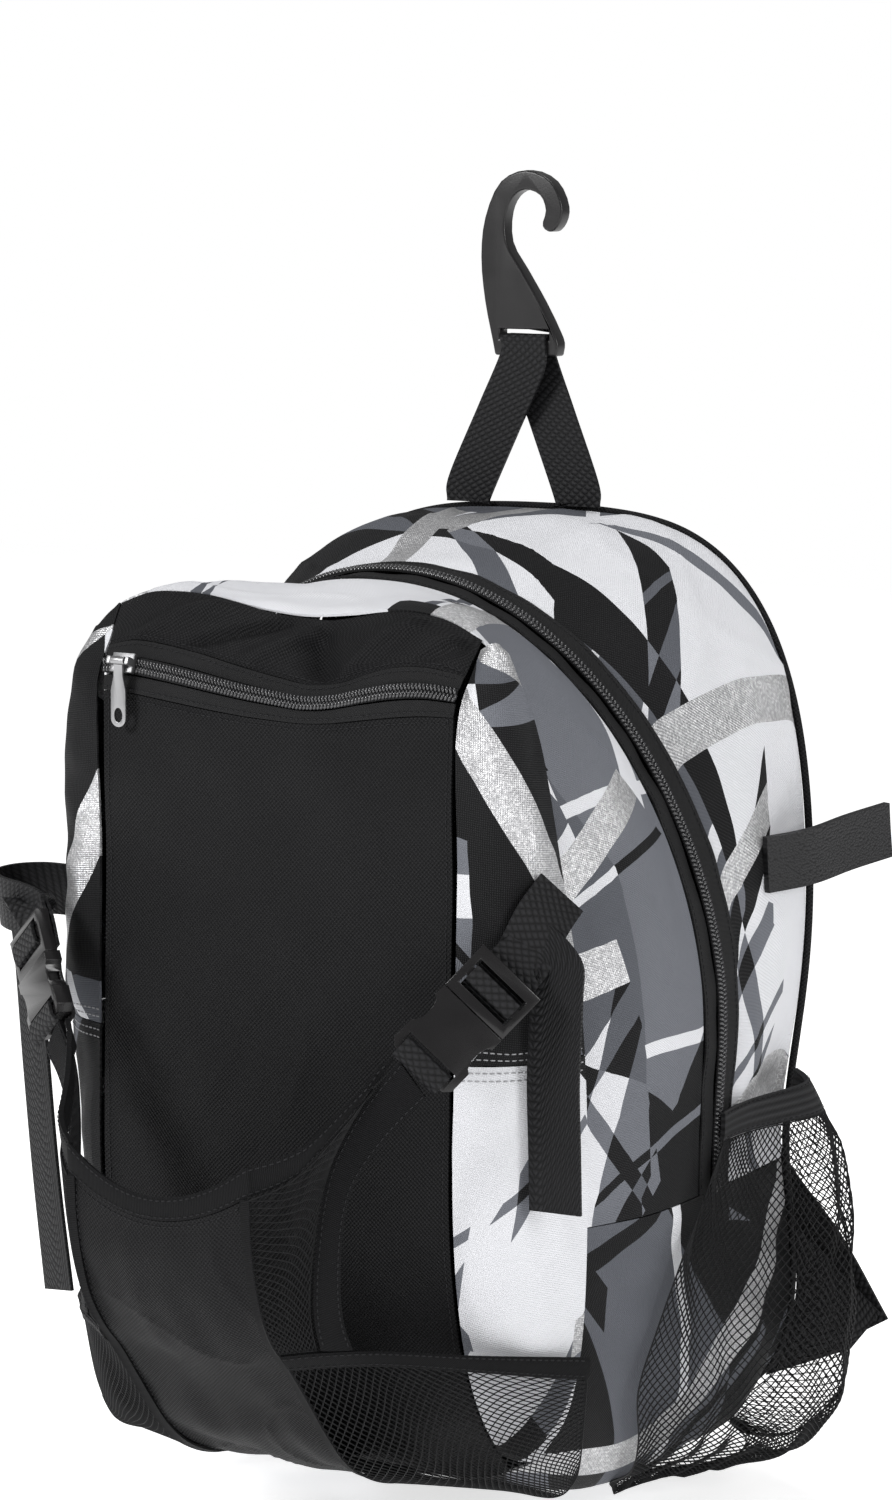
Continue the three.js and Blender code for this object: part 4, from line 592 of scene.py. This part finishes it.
black_thread = thread_finish("black_thread", (0.012, 0.012, 0.013))
grey_thread = thread_finish("grey_thread", (0.26, 0.26, 0.27))
SIDE_PANELS = [
    {"node": "pocket_side_upper", "rows": 11, "seam": "first_row", "seed": 21,
     "shift": (0.13, 0.62), "turn": 0.9},
    {"node": "pocket_side_lower", "rows": 9, "seam": "last_row", "seed": 27,
     "shift": (0.52, 0.95), "turn": -0.5},
]
TAPER_ROWS = 5
TAPER_LOSS = 0.18
TUCK = 0.55
pocket_top = wall("pocket_top", 13, 6, (1, 0, 0), (0, 0, -1))
for side, out_way in (("left", -1), ("right", 1)):
    for panel in SIDE_PANELS:
        node = f"{panel['node']}_{side}"
        seed = panel["seed"]
        coarse = wall(node, panel["rows"], 5, (0, 0, 1), (0, 1, 0))
        if node == "pocket_side_upper_left":
            # This panel narrows to nothing up the edge of the pocket's top.
            brim = smooth_line(pocket_top[0][np.argsort(pocket_top[0][:, 1])], TAPER_ROWS + 1)
            coarse = coarse[:-1]
            depth = coarse[-1] - coarse[-1][:1]
            taper = [brim[k] + depth * (1 - TAPER_LOSS * k) + (-0.0008, 0, 0)
                     for k in range(1, TAPER_ROWS + 1)]
            coarse = np.concatenate([coarse, taper])
        if node == "pocket_side_upper_right":
            # This one goes on a little under the pocket's top.
            coarse = np.concatenate([coarse, coarse[-1:] + (coarse[-1:] - coarse[-2:-1]) * TUCK])
        grid = sewn_panel(node, coarse, printed, "printed_fabric", step=0.0026, roll=0.0013,
                          waves=[(0.055, seed, 0.0009), (0.02, seed + 1, 0.0003)], sink=0.0007,
                          shift=(panel["shift"][0] + 0.4 * out_way, panel["shift"][1]), turn=panel["turn"])
        for row, inset in (("near", 0.0028), ("far", 0.0062)):
            line, up = beside(grid, panel["seam"], inset)
            finished(stitch_run(f"{node}_stitches_{row}", line, up, grey_thread), "printed_fabric")


# Front pocket's face, top and lining
# Black oxford nylon with a coarse weave. The top sags in soft folds behind its zip, and
# the face stands nearly flat; both are topstitched along their edges.
OXFORD_BLACK = (0.0032, 0.0032, 0.0036)
OXFORD_LIGHT = (0.0196, 0.0196, 0.0208)
OXFORD_WEAVE = 0.0020


def oxford_cloth(name, kind):
    cloth = Finish(name, Specular_IOR_Level=0.11)
    place = cloth.place(kind)
    u, v, w = cloth.parts(place)
    second = v if kind == "UV" else w
    weave = u.wave(OXFORD_WEAVE) * second.wave(OXFORD_WEAVE)
    thread = cloth.noise(place, 900.0, 2.0)
    cloud = cloth.noise(place, 16.0, 3.0)
    lift = (weave * 0.5 + 0.5) * (0.55 + thread * 0.9)
    tone = cloth.blend(lift * (0.35 + cloud * 0.5), (*OXFORD_BLACK, 1), (*OXFORD_LIGHT, 1))
    cloth.feed("Base Color", tone)
    cloth.feed("Roughness", 0.66 - lift * 0.16)
    cloth.relief(weave + thread * 0.6 + cloud * 1.2, 0.00022)
    return cloth.material


def stitched(node, grid, edges, inset, slot, length=STITCH_LENGTH):
    """A row of black stitches inside each of these edges of a panel."""
    for edge in edges:
        line, up = beside(grid, edge, inset)
        finished(stitch_run(f"{node}_stitches_{edge}", line, up, black_thread, length), slot)


black_oxford = oxford_cloth("black_oxford", "UV")
TOP_FOLDS = [
    {"from": (0.10, 0.95), "to": (0.30, 0.05), "width": 0.035, "height": 0.0048},
    {"from": (0.22, 1.00), "to": (0.46, 0.10), "width": 0.030, "height": -0.0048},
    {"from": (0.40, 0.90), "to": (0.58, 0.00), "width": 0.030, "height": 0.0042},
    {"from": (0.62, 1.00), "to": (0.55, 0.20), "width": 0.040, "height": -0.0054},
    {"from": (0.66, 0.90), "to": (0.86, 0.10), "width": 0.032, "height": 0.0045},
    {"from": (0.88, 0.95), "to": (0.97, 0.30), "width": 0.030, "height": -0.0029},
]
grid = sewn_panel("pocket_top", pocket_top, black_oxford, "black_fabric", step=0.0018, roll=0.0010,
                  waves=[(0.04, 31, 0.0005)], sink=0.0006, folds=TOP_FOLDS)
line, up = beside(grid, "last_column", 0.0022)
finished(stitch_run("pocket_top_stitches", line, up, black_thread), "black_fabric")

coarse = wall("pocket_face", 13, 11, (1, 0, 0), (0, 0, -1))
grid = sewn_panel("pocket_face", coarse, black_oxford, "black_fabric", step=0.0030, roll=0.0009,
                  waves=[(0.10, 33, 0.0009), (0.035, 34, 0.00035)], sink=0.0012,
                  crease=(0.14, 36, 0.08, 0.0006))
stitched("pocket_face", grid, ("first_column", "first_row", "last_row"), 0.0026, "black_fabric")

grid = fine_grid(wall("pocket_lining", 9, 9, (1, 0, 0), (0, 0, -1)), 0.006)
grid = grid + np.array((0, 0.0004, 0)) * slack(grid, 0.07, 37)[..., None]
finished(cloth_mesh("pocket_lining_cloth", grid, black_oxford, 0.0010), "black_fabric", "pocket_lining")


# Zips
# Black nylon coil zips on woven tape: a heavy one round the arch of the drum, and a like
# one across the front pocket, whose satin nickel slider carries a hinged pull.
def tape_finish():
    tape = Finish("zip_tape_weave", Roughness=0.7, Specular_IOR_Level=0.25)
    u, v, _ = tape.parts(tape.place())
    twill = (u + v * 0.5).wave(0.0011) * v.wave(0.0008)
    tone = tape.blend(twill * 0.5 + 0.5, (0.002, 0.002, 0.0022, 1), (0.012, 0.012, 0.013, 1))
    tape.feed("Base Color", tone)
    tape.relief(twill, 0.00012)
    return tape.material


def coil_finish():
    coil = Finish("zip_coil_nylon", Roughness=0.22, Specular_IOR_Level=0.8)
    grain = coil.noise(coil.place("Object"), 350.0, 2.0)
    coil.feed("Base Color", coil.blend(grain, (0.014, 0.014, 0.015, 1), (0.040, 0.040, 0.043, 1)))
    coil.relief(grain, 0.00005)
    return coil.material


zip_tape = tape_finish()
zip_coil = coil_finish()
TAPES = [
    {"node": "zip_tape_rear", "rows": 31, "sewn": "first_column"},
    {"node": "zip_tape_front", "rows": 31, "sewn": "last_column"},
    {"node": "pocket_zip_tape_upper", "rows": 13, "sewn": "first_column"},
    {"node": "pocket_zip_tape_lower", "rows": 13, "sewn": "last_column"},
]
for tape in TAPES:
    node = tape["node"]
    grid = fine_grid(wall(node, tape["rows"], 2, (1, 0, 0), (0, -1, -0.5)), 0.0022)
    grid = grid + facing_out(grid) * (slack(grid, 0.03, 41) * 0.00025 - 0.0003)[..., None]
    finished(cloth_mesh(node + "_weave", grid, zip_tape, 0.0009), "zip_tape", node)
    line, up = beside(grid, tape["sewn"], 0.0018)
    finished(stitch_run(node + "_stitches", line, up, black_thread), "zip_tape")


def coil_chain(name, node, rows, pitch):
    """Two rows of slanting coil loops on a narrow woven cord, along the closed zip."""
    coarse = wall(node, rows, 2, (1, 0, 0), (0, -1, -0.5))
    dense = smooth_line(coarse, rows * 12)
    centre = dense.mean(1)
    width = dense[:, 1] - dense[:, 0]
    wide = float(np.linalg.norm(width, axis=1).mean())
    along = np.concatenate([[0], np.cumsum(np.linalg.norm(np.diff(centre, axis=0), axis=1))])
    stations = np.arange(pitch / 2, along[-1], pitch)
    at = np.stack([np.interp(stations, along, centre[:, k]) for k in range(3)], axis=1)
    over = np.stack([np.interp(stations, along, width[:, k]) for k in range(3)], axis=1)
    over /= np.linalg.norm(over, axis=1, keepdims=True)
    ahead = np.gradient(at, axis=0)
    ahead /= np.linalg.norm(ahead, axis=1, keepdims=True)
    up = np.cross(ahead, over)
    if (up * (at - BAG_MIDDLE)).sum() < 0:
        up = -up
    half = wide / 2
    ring = [(math.cos(a), math.sin(a)) for a in np.arange(8) * math.pi / 4]
    shape = [(c * 0.53 * half, s * 0.46 * pitch, -0.0010) for c, s in ring]
    shape += [(c * 0.48 * half, s * 0.38 * pitch, -0.0001) for c, s in ring] + [(0, 0, 0.0006)]
    faces = []
    for k in range(8):
        n = (k + 1) % 8
        faces += [(k, n, 8 + n, 8 + k), (8 + k, 8 + n, 16)]
    corners, all_faces = [], []
    for row, slant in ((-1, 0.34), (1, -0.34)):
        step = 0 if row < 0 else pitch / 2
        for x, y, z in shape:
            beyond = x + row * half * 0.47
            corners.append(at + over * beyond + ahead * (y + slant * x + step) + up * z)
        base = 0 if row < 0 else len(shape) * len(at)
        for n in range(len(at)):
            all_faces += [tuple(base + i * len(at) + n for i in face) for face in faces]
    piece = new_piece(name, np.concatenate(corners), all_faces, zip_coil)
    piece.data.shade_smooth()
    finished(piece, "zip_tape", node)
    bed = fine_grid(coarse, 0.002)
    bed = bed - facing_out(bed) * 0.0009
    finished(cloth_mesh(name + "_cord", bed, zip_tape, 0.0008), "zip_tape")


coil_chain("main_zip_coil", "main_zip_chain", 31, 0.0021)
coil_chain("pocket_zip_coil", "pocket_zip_chain", 13, 0.0018)


def nickel_finish():
    nickel = Finish("satin_nickel", Metallic=1.0)
    grain = nickel.noise(nickel.place("Object", stretch=(1, 1, 0.2)), 700.0, 3.0)
    wear = nickel.noise(nickel.place("Object"), 90.0, 3.0)
    tone = nickel.blend(wear, (0.22, 0.22, 0.225, 1), (0.38, 0.38, 0.385, 1))
    nickel.feed("Base Color", tone)
    nickel.feed("Roughness", 0.30 + wear * 0.16)
    nickel.relief(grain, 0.00003)
    return nickel.material


def eased(name, node, finish, width, segments=2, angle=35):
    """A copy of a hard node with its corners joined and its edges rounded."""
    piece = new_piece(name, *joined(node), finish)
    piece.select_set(True)
    bpy.ops.object.mode_set(mode="EDIT")
    bpy.ops.mesh.select_all(action="SELECT")
    bpy.ops.mesh.dissolve_limited(angle_limit=math.radians(1.5))
    bpy.ops.object.mode_set(mode="OBJECT")
    changed(piece, "edge", "BEVEL", width=width, segments=segments, limit_method="ANGLE",
            angle_limit=math.radians(angle))
    piece.data.shade_smooth()
    piece.data.set_sharp_from_angle(angle=math.radians(35))
    piece.select_set(False)
    return piece


satin_nickel = nickel_finish()
METAL_PIECES = [
    {"name": "pocket_slider", "node": "pocket_zip_slider", "edge": 0.0004, "body": "bag"},
    {"name": "pocket_pull", "node": "pocket_zip_pull", "edge": 0.00035, "body": "zip_pull"},
    {"name": "main_slider", "node": "main_zip_slider", "edge": 0.0006, "body": "bag"},
]
for metal in METAL_PIECES:
    piece = eased(metal["name"], metal["node"], satin_nickel, metal["edge"])
    finished(piece, "zip_metal", metal["node"], body=metal["body"])


# Front sling
# A black oxford middle panel with a net wing and a net skirt on each side, all edged
# with ribbed binding that is folded over and sewn with two rows of stitches.
def binding_finish():
    tape = Finish("cross_ribbed_binding", Roughness=0.66, Specular_IOR_Level=0.11)
    u, v, _ = tape.parts(tape.place())
    high = v.wave(0.00085) * 0.8 + u.wave(0.0006) * 0.2
    tone = tape.blend(high * 0.5 + 0.5, (0.002, 0.002, 0.0022, 1), (0.011, 0.011, 0.012, 1))
    tape.feed("Base Color", tone)
    tape.relief(high, 0.00016)
    return tape.material


cross_ribbed = binding_finish()
net_black = thread_finish("net_yarn", (0.008, 0.008, 0.0085))


NET_WIDE = 0.0043
NET_HIGH = 0.0039
YARN = 0.0009


def net_panel(name, coarse, swell=None):
    """Knitted net: diamonds of yarn over the panel, joined all round its edge."""
    down = np.linalg.norm(np.diff(coarse, axis=0), axis=2).sum(0).mean()
    over = np.linalg.norm(np.diff(coarse, axis=1), axis=2).sum(1).mean()
    rows = 2 * max(2, round(down / NET_HIGH)) + 1
    columns = 2 * max(2, round(over / NET_WIDE)) + 1
    grid = smooth_line(smooth_line(coarse, rows).transpose(1, 0, 2), columns).transpose(1, 0, 2)
    if swell is not None:
        grid = grid + facing_out(grid) * swell(grid)[..., None]
    index = np.arange(rows * columns).reshape(rows, columns)
    faces = []
    for i in range(rows):
        for j in range((i + 1) % 2, columns, 2):
            around = [(i - 1, j), (i, j + 1), (i + 1, j), (i, j - 1)]
            kept = [int(index[a, b]) for a, b in around if 0 <= a < rows and 0 <= b < columns]
            if len(kept) >= 3:
                faces.append(kept)
    used = sorted({k for face in faces for k in face})
    again = {k: n for n, k in enumerate(used)}
    faces = [[again[k] for k in face] for face in faces]
    piece = new_piece(name, grid.reshape(-1, 3)[used], faces, net_black)
    changed(piece, "yarn", "WIREFRAME", thickness=YARN, use_even_offset=False, use_boundary=True)
    piece.data.shade_smooth()
    return piece


middle_panel = wall("sling_middle", 9, 13, (1, 0, 0), (0, 0, -1))
grid = sewn_panel("sling_middle", middle_panel, black_oxford, "black_fabric", step=0.0028, roll=0.0008,
                  waves=[(0.06, 51, 0.0010), (0.022, 52, 0.0003)], sink=0.0012,
                  crease=(0.11, 53, 0.09, 0.0008))
stitched("sling_middle", grid, ("first_row", "last_row", "first_column"), 0.0025, "black_fabric")

sling_nets = {}
for side in ("left", "right"):
    wing = wall(f"sling_wing_{side}", 11, 6, (0, 0, -1), (0, 0, 1))
    skirt = wall(f"sling_skirt_{side}", 11, 7, (1, 0, 0), (0, 0, -1))
    finished(net_panel(f"sling_wing_{side}_net", wing), "mesh", f"sling_wing_{side}")
    finished(net_panel(f"sling_skirt_{side}_net", skirt), "mesh", f"sling_skirt_{side}")
    sling_nets[side] = np.concatenate([fine_grid(net, 0.003).reshape(-1, 3) for net in (wing, skirt)])

# The nets are sewn to the middle panel under a narrow tape down each side.
TAPE_REACH = 0.014
for side, row, inset in (("left", 0, 0.0020), ("right", -1, -0.0020)):
    edge = smooth_line(middle_panel[row], 90)
    net = sling_nets[side]
    reach = np.linalg.norm(edge[:, None] - net[None], axis=2)
    nearest = net[reach.argmin(1)]
    close = reach.min(1) < TAPE_REACH
    edge, nearest = edge[close], nearest[close]
    for _ in range(6):
        nearest[1:-1] = (nearest[:-2] + nearest[1:-1] * 2 + nearest[2:]) / 4
    inner = edge + np.array((inset, 0, 0))
    outer = nearest + (nearest - edge) * 0.25
    across = np.stack([inner, (edge + nearest) / 2, outer])
    tape = smooth_line(across, 7).transpose(1, 0, 2)
    tape = tape + facing_out(tape) * 0.0005
    finished(cloth_mesh(f"sling_seam_tape_{side}", tape, cross_ribbed, 0.0009), "ribbed_binding")


def folded_tape(node, coarse, finish, rise, inset):
    """A folded tape with a rounded back and a row of stitches along each side."""
    fine = fine_grid(coarse, 0.0016)
    j = np.linspace(-1, 1, fine.shape[1])
    grid = fine + facing_out(fine) * (rise * (1 - j ** 4) - 0.0003)[None, :, None]
    finished(cloth_mesh(node + "_tape", grid, finish, 0.0022), "ribbed_binding", node)
    stitched(node, grid, ("first_column", "last_column"), inset, "ribbed_binding", 0.0022)


BINDINGS = [("sling_rim_binding", 27)]
for side in ("left", "right"):
    BINDINGS += [(f"sling_side_binding_{side}", 11), (f"sling_lower_binding_{side}", 15)]
for node, rows in BINDINGS:
    folded_tape(node, wall(node, rows, 2, (1, 0, -1), (0, 0, -1)), cross_ribbed, 0.0007, 0.0016)


# Side pockets
# Deep pockets of the same net, gathered at the foot and into a ribbed elastic hem.
def hem_finish():
    tape = Finish("elastic_hem_tape", Roughness=0.6, Specular_IOR_Level=0.3)
    u, v, _ = tape.parts(tape.place())
    ribs = u.wave(0.0034) * 0.75 + v.wave(0.0008) * 0.25
    tone = tape.blend(ribs * 0.5 + 0.5, (0.003, 0.003, 0.0033, 1), (0.022, 0.022, 0.024, 1))
    tape.feed("Base Color", tone)
    tape.relief(ribs, 0.00035)
    return tape.material


PLEAT = 0.021


def gathers(grid):
    """Pleats that are deepest at the foot of a side pocket and below its hem."""
    i, j = shares(grid)
    over, _ = cloth_metres(grid)
    pleats = np.sin(over * 2 * math.pi / PLEAT + 1.4 * slack(grid, 0.12, 61))
    strength = 0.0016 * np.exp(-((i / 0.35) ** 2)) + 0.0019 * np.exp(-(((1 - i) / 0.3) ** 2)) + 0.0005
    edge = np.minimum(1, np.minimum(np.minimum(j, 1 - j) * 9, np.minimum(i, 1 - i) * 14))
    return (pleats * strength - 0.0012 + slack(grid, 0.05, 62) * 0.0010) * edge


hem_tape = hem_finish()
for side in ("left", "right"):
    node = f"side_pocket_{side}"
    coarse = wall(node, 10, 11, (0, 0, -1), (0, -1, 0))
    finished(net_panel(node + "_net", coarse, gathers), "mesh", node)
    node = f"side_hem_{side}"
    folded_tape(node, wall(node, 11, 2, (0, -1, 0), (0, 0, 1)), hem_tape, 0.0008, 0.0015)


# Webbing
# Black polypropylene webbing 25 mm wide: the buckle straps down both sides, the loops
# that hold the buckles, the hang loop at the top, and the harness's lower straps.
RING = 4


def stations(node):
    """The rings of corners along a strap, from one end to the other."""
    places, faces = joined(node)
    near = [set() for _ in places]
    facing, owner = [], {}
    for n, face in enumerate(faces):
        a, b, c = places[list(face)]
        normal = np.cross(b - a, c - a)
        facing.append(normal / (np.linalg.norm(normal) + 1e-18))
        for k in range(3):
            near[face[k]].update((face[(k + 1) % 3], face[(k + 2) % 3]))
            owner[face[k], face[(k + 1) % 3]] = n
    seen = set()
    for n in range(len(faces)):
        if n in seen:
            continue
        flat, waiting = set(), [n]
        seen.add(n)
        while waiting:
            face = faces[waiting.pop()]
            flat.update(face)
            for k in range(3):
                other = owner[face[(k + 1) % 3], face[k]]
                if other not in seen and facing[other] @ facing[n] > 0.9995:
                    seen.add(other)
                    waiting.append(other)
        if len(flat) != RING:
            continue
        rings, done = [flat], set(flat)
        while True:
            following = set(w for v in rings[-1] for w in near[v]) - done
            if not following:
                break
            rings.append(following)
            done |= following
        if all(len(r) == RING for r in rings):
            break
    points = np.array([places[sorted(r)] for r in rings])
    centre = points.mean(1)
    across = []
    for p, c in zip(points, centre):
        _, _, axes = np.linalg.svd(p - c)
        way = axes[0]
        if across and way @ across[-1] < 0:
            way = -way
        across.append(way)
    half = np.array([np.abs((p - c) @ w).max() for p, c, w in zip(points, centre, across)])
    return centre, np.array(across), half


def strap(name, node, finish, thickness, step=0.0022, columns=9, crown=0.0):
    """A flat strap along its node's stations."""
    centre, across, half = stations(node)
    edges = np.stack([centre - across * half[:, None], centre + across * half[:, None]], axis=1)
    length = np.linalg.norm(np.diff(centre, axis=0), axis=1).sum()
    rows = max(8, int(length / step))
    dense = smooth_line(edges, rows)
    k = np.linspace(0, 1, columns)[None, :, None]
    grid = dense[:, :1] * (1 - k) + dense[:, 1:] * k
    normals = np.cross(np.gradient(grid, axis=0), np.gradient(grid, axis=1))
    normals /= np.linalg.norm(normals, axis=2, keepdims=True)
    wide = np.linspace(-1, 1, columns)
    shape = crown * (1 - wide ** 2)
    grid = grid + normals * (shape[None, :, None] + thickness / 2)
    return sheet(name, grid, finish, thickness), grid


WEB_ACROSS = 0.0046
WEB_ALONG = 0.0038


def webbing_finish():
    web = Finish("webbing_weave", Roughness=0.55, Specular_IOR_Level=0.16)
    u, v, _ = web.parts(web.place())
    one = u * (1 / WEB_ACROSS) + v * (1 / WEB_ALONG)
    two = u * (1 / WEB_ACROSS) - v * (1 / WEB_ALONG)
    lozenge = abs(one.wave(2.0)) * abs(two.wave(2.0))
    fibre = web.noise(web.place("UV", stretch=(3, 1, 1)), 900.0, 2.0)
    high = lozenge + fibre * 0.3
    tone = web.blend(high, (0.002, 0.002, 0.0022, 1), (0.016, 0.016, 0.0175, 1))
    web.feed("Base Color", tone)
    web.relief(high, 0.00045)
    return web.material


webbing = webbing_finish()
WEBBING_THICK = 0.0016
for node in ("buckle_strap_left", "buckle_strap_right", "sling_tab_left", "sling_tab_right",
             "hang_loop", "lower_webbing_left", "lower_webbing_right"):
    piece, _ = strap(node + "_webbing", node, webbing, WEBBING_THICK)
    finished(piece, "webbing", node)
for side in ("left", "right"):
    node = f"strap_tab_{side}"
    grid = fine_grid(wall(node, 5, 3, (1, 0, 0), (0, 0, 1)), 0.0025)
    finished(cloth_mesh(node + "_webbing", grid, webbing, 0.0014), "webbing", node)


# Side straps
# Two short hook-and-loop straps above the side pockets, each sewn into the gusset.
def hook_loop_finish():
    strip = Finish("hook_and_loop", Roughness=0.5, Specular_IOR_Level=0.25)
    dimple = strip.cells(strip.place(), 820.0, "Distance")
    tone = strip.blend(dimple, (0.020, 0.020, 0.0215, 1), (0.004, 0.004, 0.0044, 1))
    strip.feed("Base Color", tone)
    strip.relief(dimple, -0.0003)
    return strip.material


hook_and_loop = hook_loop_finish()
STRIP_STITCHES = [
    ("first_column", 0.0022), ("last_column", 0.0022), ("first_row", 0.006), ("first_row", 0.022)]
for side in ("left", "right"):
    node = f"bat_strap_{side}"
    piece, grid = strap(node + "_strip", node, hook_and_loop, 0.0036, 0.0018, 13, 0.0003)
    finished(piece, "bat_strap", node)
    for edge, inset in STRIP_STITCHES:
        line, up = beside(grid, edge, inset)
        name = f"{node}_stitches_{edge}_{round(inset * 1e4)}"
        finished(stitch_run(name, line + up * 0.0002, up, black_thread), "bat_strap")


# Side-release buckles and strap adjusters
# Dark glossy acetal, moulded: a socket and a plug on each side, and a flat slotted
# adjuster at the foot of each shoulder strap.
def moulded_finish(name, dark, light, rough, grain_depth):
    plastic = Finish(name, Specular_IOR_Level=0.4)
    grain = plastic.noise(plastic.place("Object"), 1400.0, 2.0)
    cloud = plastic.noise(plastic.place("Object"), 60.0, 3.0)
    plastic.feed("Base Color", plastic.blend(cloud, (*dark, 1), (*light, 1)))
    plastic.feed("Roughness", rough + cloud * 0.12)
    plastic.relief(grain, grain_depth)
    return plastic.material


buckle_plastic = moulded_finish(
    "buckle_plastic", (0.006, 0.0055, 0.006), (0.012, 0.0115, 0.012), 0.16, 0.00002)
for side in ("left", "right"):
    for part, width in (("buckle_socket", 0.0009), ("buckle_plug", 0.0007), ("strap_adjuster", 0.0008)):
        node = f"{part}_{side}"
        finished(eased(node + "_moulded", node, buckle_plastic, width, 3), "buckle_plastic", node)


# Fence hook
# A one-piece moulding in satin charcoal plastic: a round-backed hook over a slotted base
# that the webbing loop goes through.
hook_plastic = moulded_finish(
    "hook_plastic", (0.006, 0.0055, 0.006), (0.011, 0.0105, 0.011), 0.28, 0.00003)
finished(eased("fence_hook", "hook", hook_plastic, 0.0032, 5, 32), "hook_plastic", "hook")


# Back panel, back seam piping and shoulder straps
# The back panel is foam between two cloths, sewn down in channels. The shoulder straps
# are foam in black oxford, and corded piping runs round the back seam.
padded_cloth = oxford_cloth("padded_oxford", "Object")
PUFF_FRAMES = 15
PUFF_PRESSURE = 3.0
PUFF_CAP = 0.003


def even_pad(name, node, voxel):
    """The node's own shape in padded cloth, on an even mesh."""
    piece = new_piece(name, *joined(node), padded_cloth)
    return changed(piece, "even", "REMESH", mode="VOXEL", voxel_size=voxel)


def puffed(piece):
    """The pad after a short cloth simulation with air in it, moved by no more than the cap."""
    start = np.array([v.co for v in piece.data.vertices])
    puff = piece.modifiers.new("puff", "CLOTH")
    puff.settings.use_pressure = True
    puff.settings.uniform_pressure_force = PUFF_PRESSURE
    puff.settings.effector_weights.gravity = 0
    for number in range(1, PUFF_FRAMES + 1):
        studio.frame_set(number)
    bpy.ops.object.modifier_apply(modifier=puff.name)
    moved = np.array([v.co for v in piece.data.vertices]) - start
    far = np.linalg.norm(moved, axis=1, keepdims=True)
    ended = start + moved * np.minimum(1, PUFF_CAP / (far + 1e-9))
    piece.data.vertices.foreach_set("co", ended.ravel())
    studio.frame_set(1)


for side in ("left", "right"):
    node = f"shoulder_strap_{side}"
    piece = even_pad(node + "_pad", node, 0.005)
    puffed(piece)
    changed(piece, "finer", "SUBSURF", levels=1, render_levels=1)
    piece.data.shade_smooth()
    finished(piece, "padded_fabric", node)

CHANNELS = [-0.070, -0.024, 0.033, 0.079]
CHANNEL_WIDTH = 0.004
CHANNEL_DEPTH = 0.0016
back_pad = even_pad("back_panel_pad", "back_panel", 0.0021)
spots = np.array([v.co for v in back_pad.data.vertices])
rear = spots[:, 1] > 0.0045
sunk = sum(np.exp(-(((spots[:, 0] - x) / CHANNEL_WIDTH) ** 2)) for x in CHANNELS)
spots[:, 1] -= np.where(rear, CHANNEL_DEPTH * np.minimum(1, sunk), 0)
back_pad.data.vertices.foreach_set("co", spots.ravel())
back_pad.data.shade_smooth()
finished(back_pad, "black_fabric", "back_panel")

RING_GAP = 0.0075
places, _ = joined("back_piping")
left = list(range(len(places)))
rings = []
while left:
    group = [left[0]]
    for k in left[1:]:
        if np.linalg.norm(places[k] - places[left[0]]) < RING_GAP:
            group.append(k)
    left = [k for k in left if k not in group]
    rings.append(places[group].mean(0))
rings = np.array(rings)
middle = rings.mean(0)
rings = rings[np.argsort(np.arctan2(rings[:, 2] - middle[2], rings[:, 0] - middle[0]))]
line = bpy.data.curves.new("back_piping_cord", "CURVE")
line.dimensions = "3D"
line.bevel_depth = 0.0018
line.bevel_resolution = 4
spline = line.splines.new("NURBS")
spline.points.add(len(rings) - 1)
for point, place in zip(spline.points, rings):
    point.co = (*place, 1)
spline.use_cyclic_u = True
spline.order_u = 3
line.materials.append(padded_cloth)
piping = bpy.data.objects.new("back_piping_cord", line)
bpy.context.collection.objects.link(piping)
bpy.context.view_layer.objects.active = piping
piping.select_set(True)
bpy.ops.object.convert(target="MESH")
piping = bpy.context.object
piping.select_set(False)
finished(piping, "ribbed_binding", "back_piping")
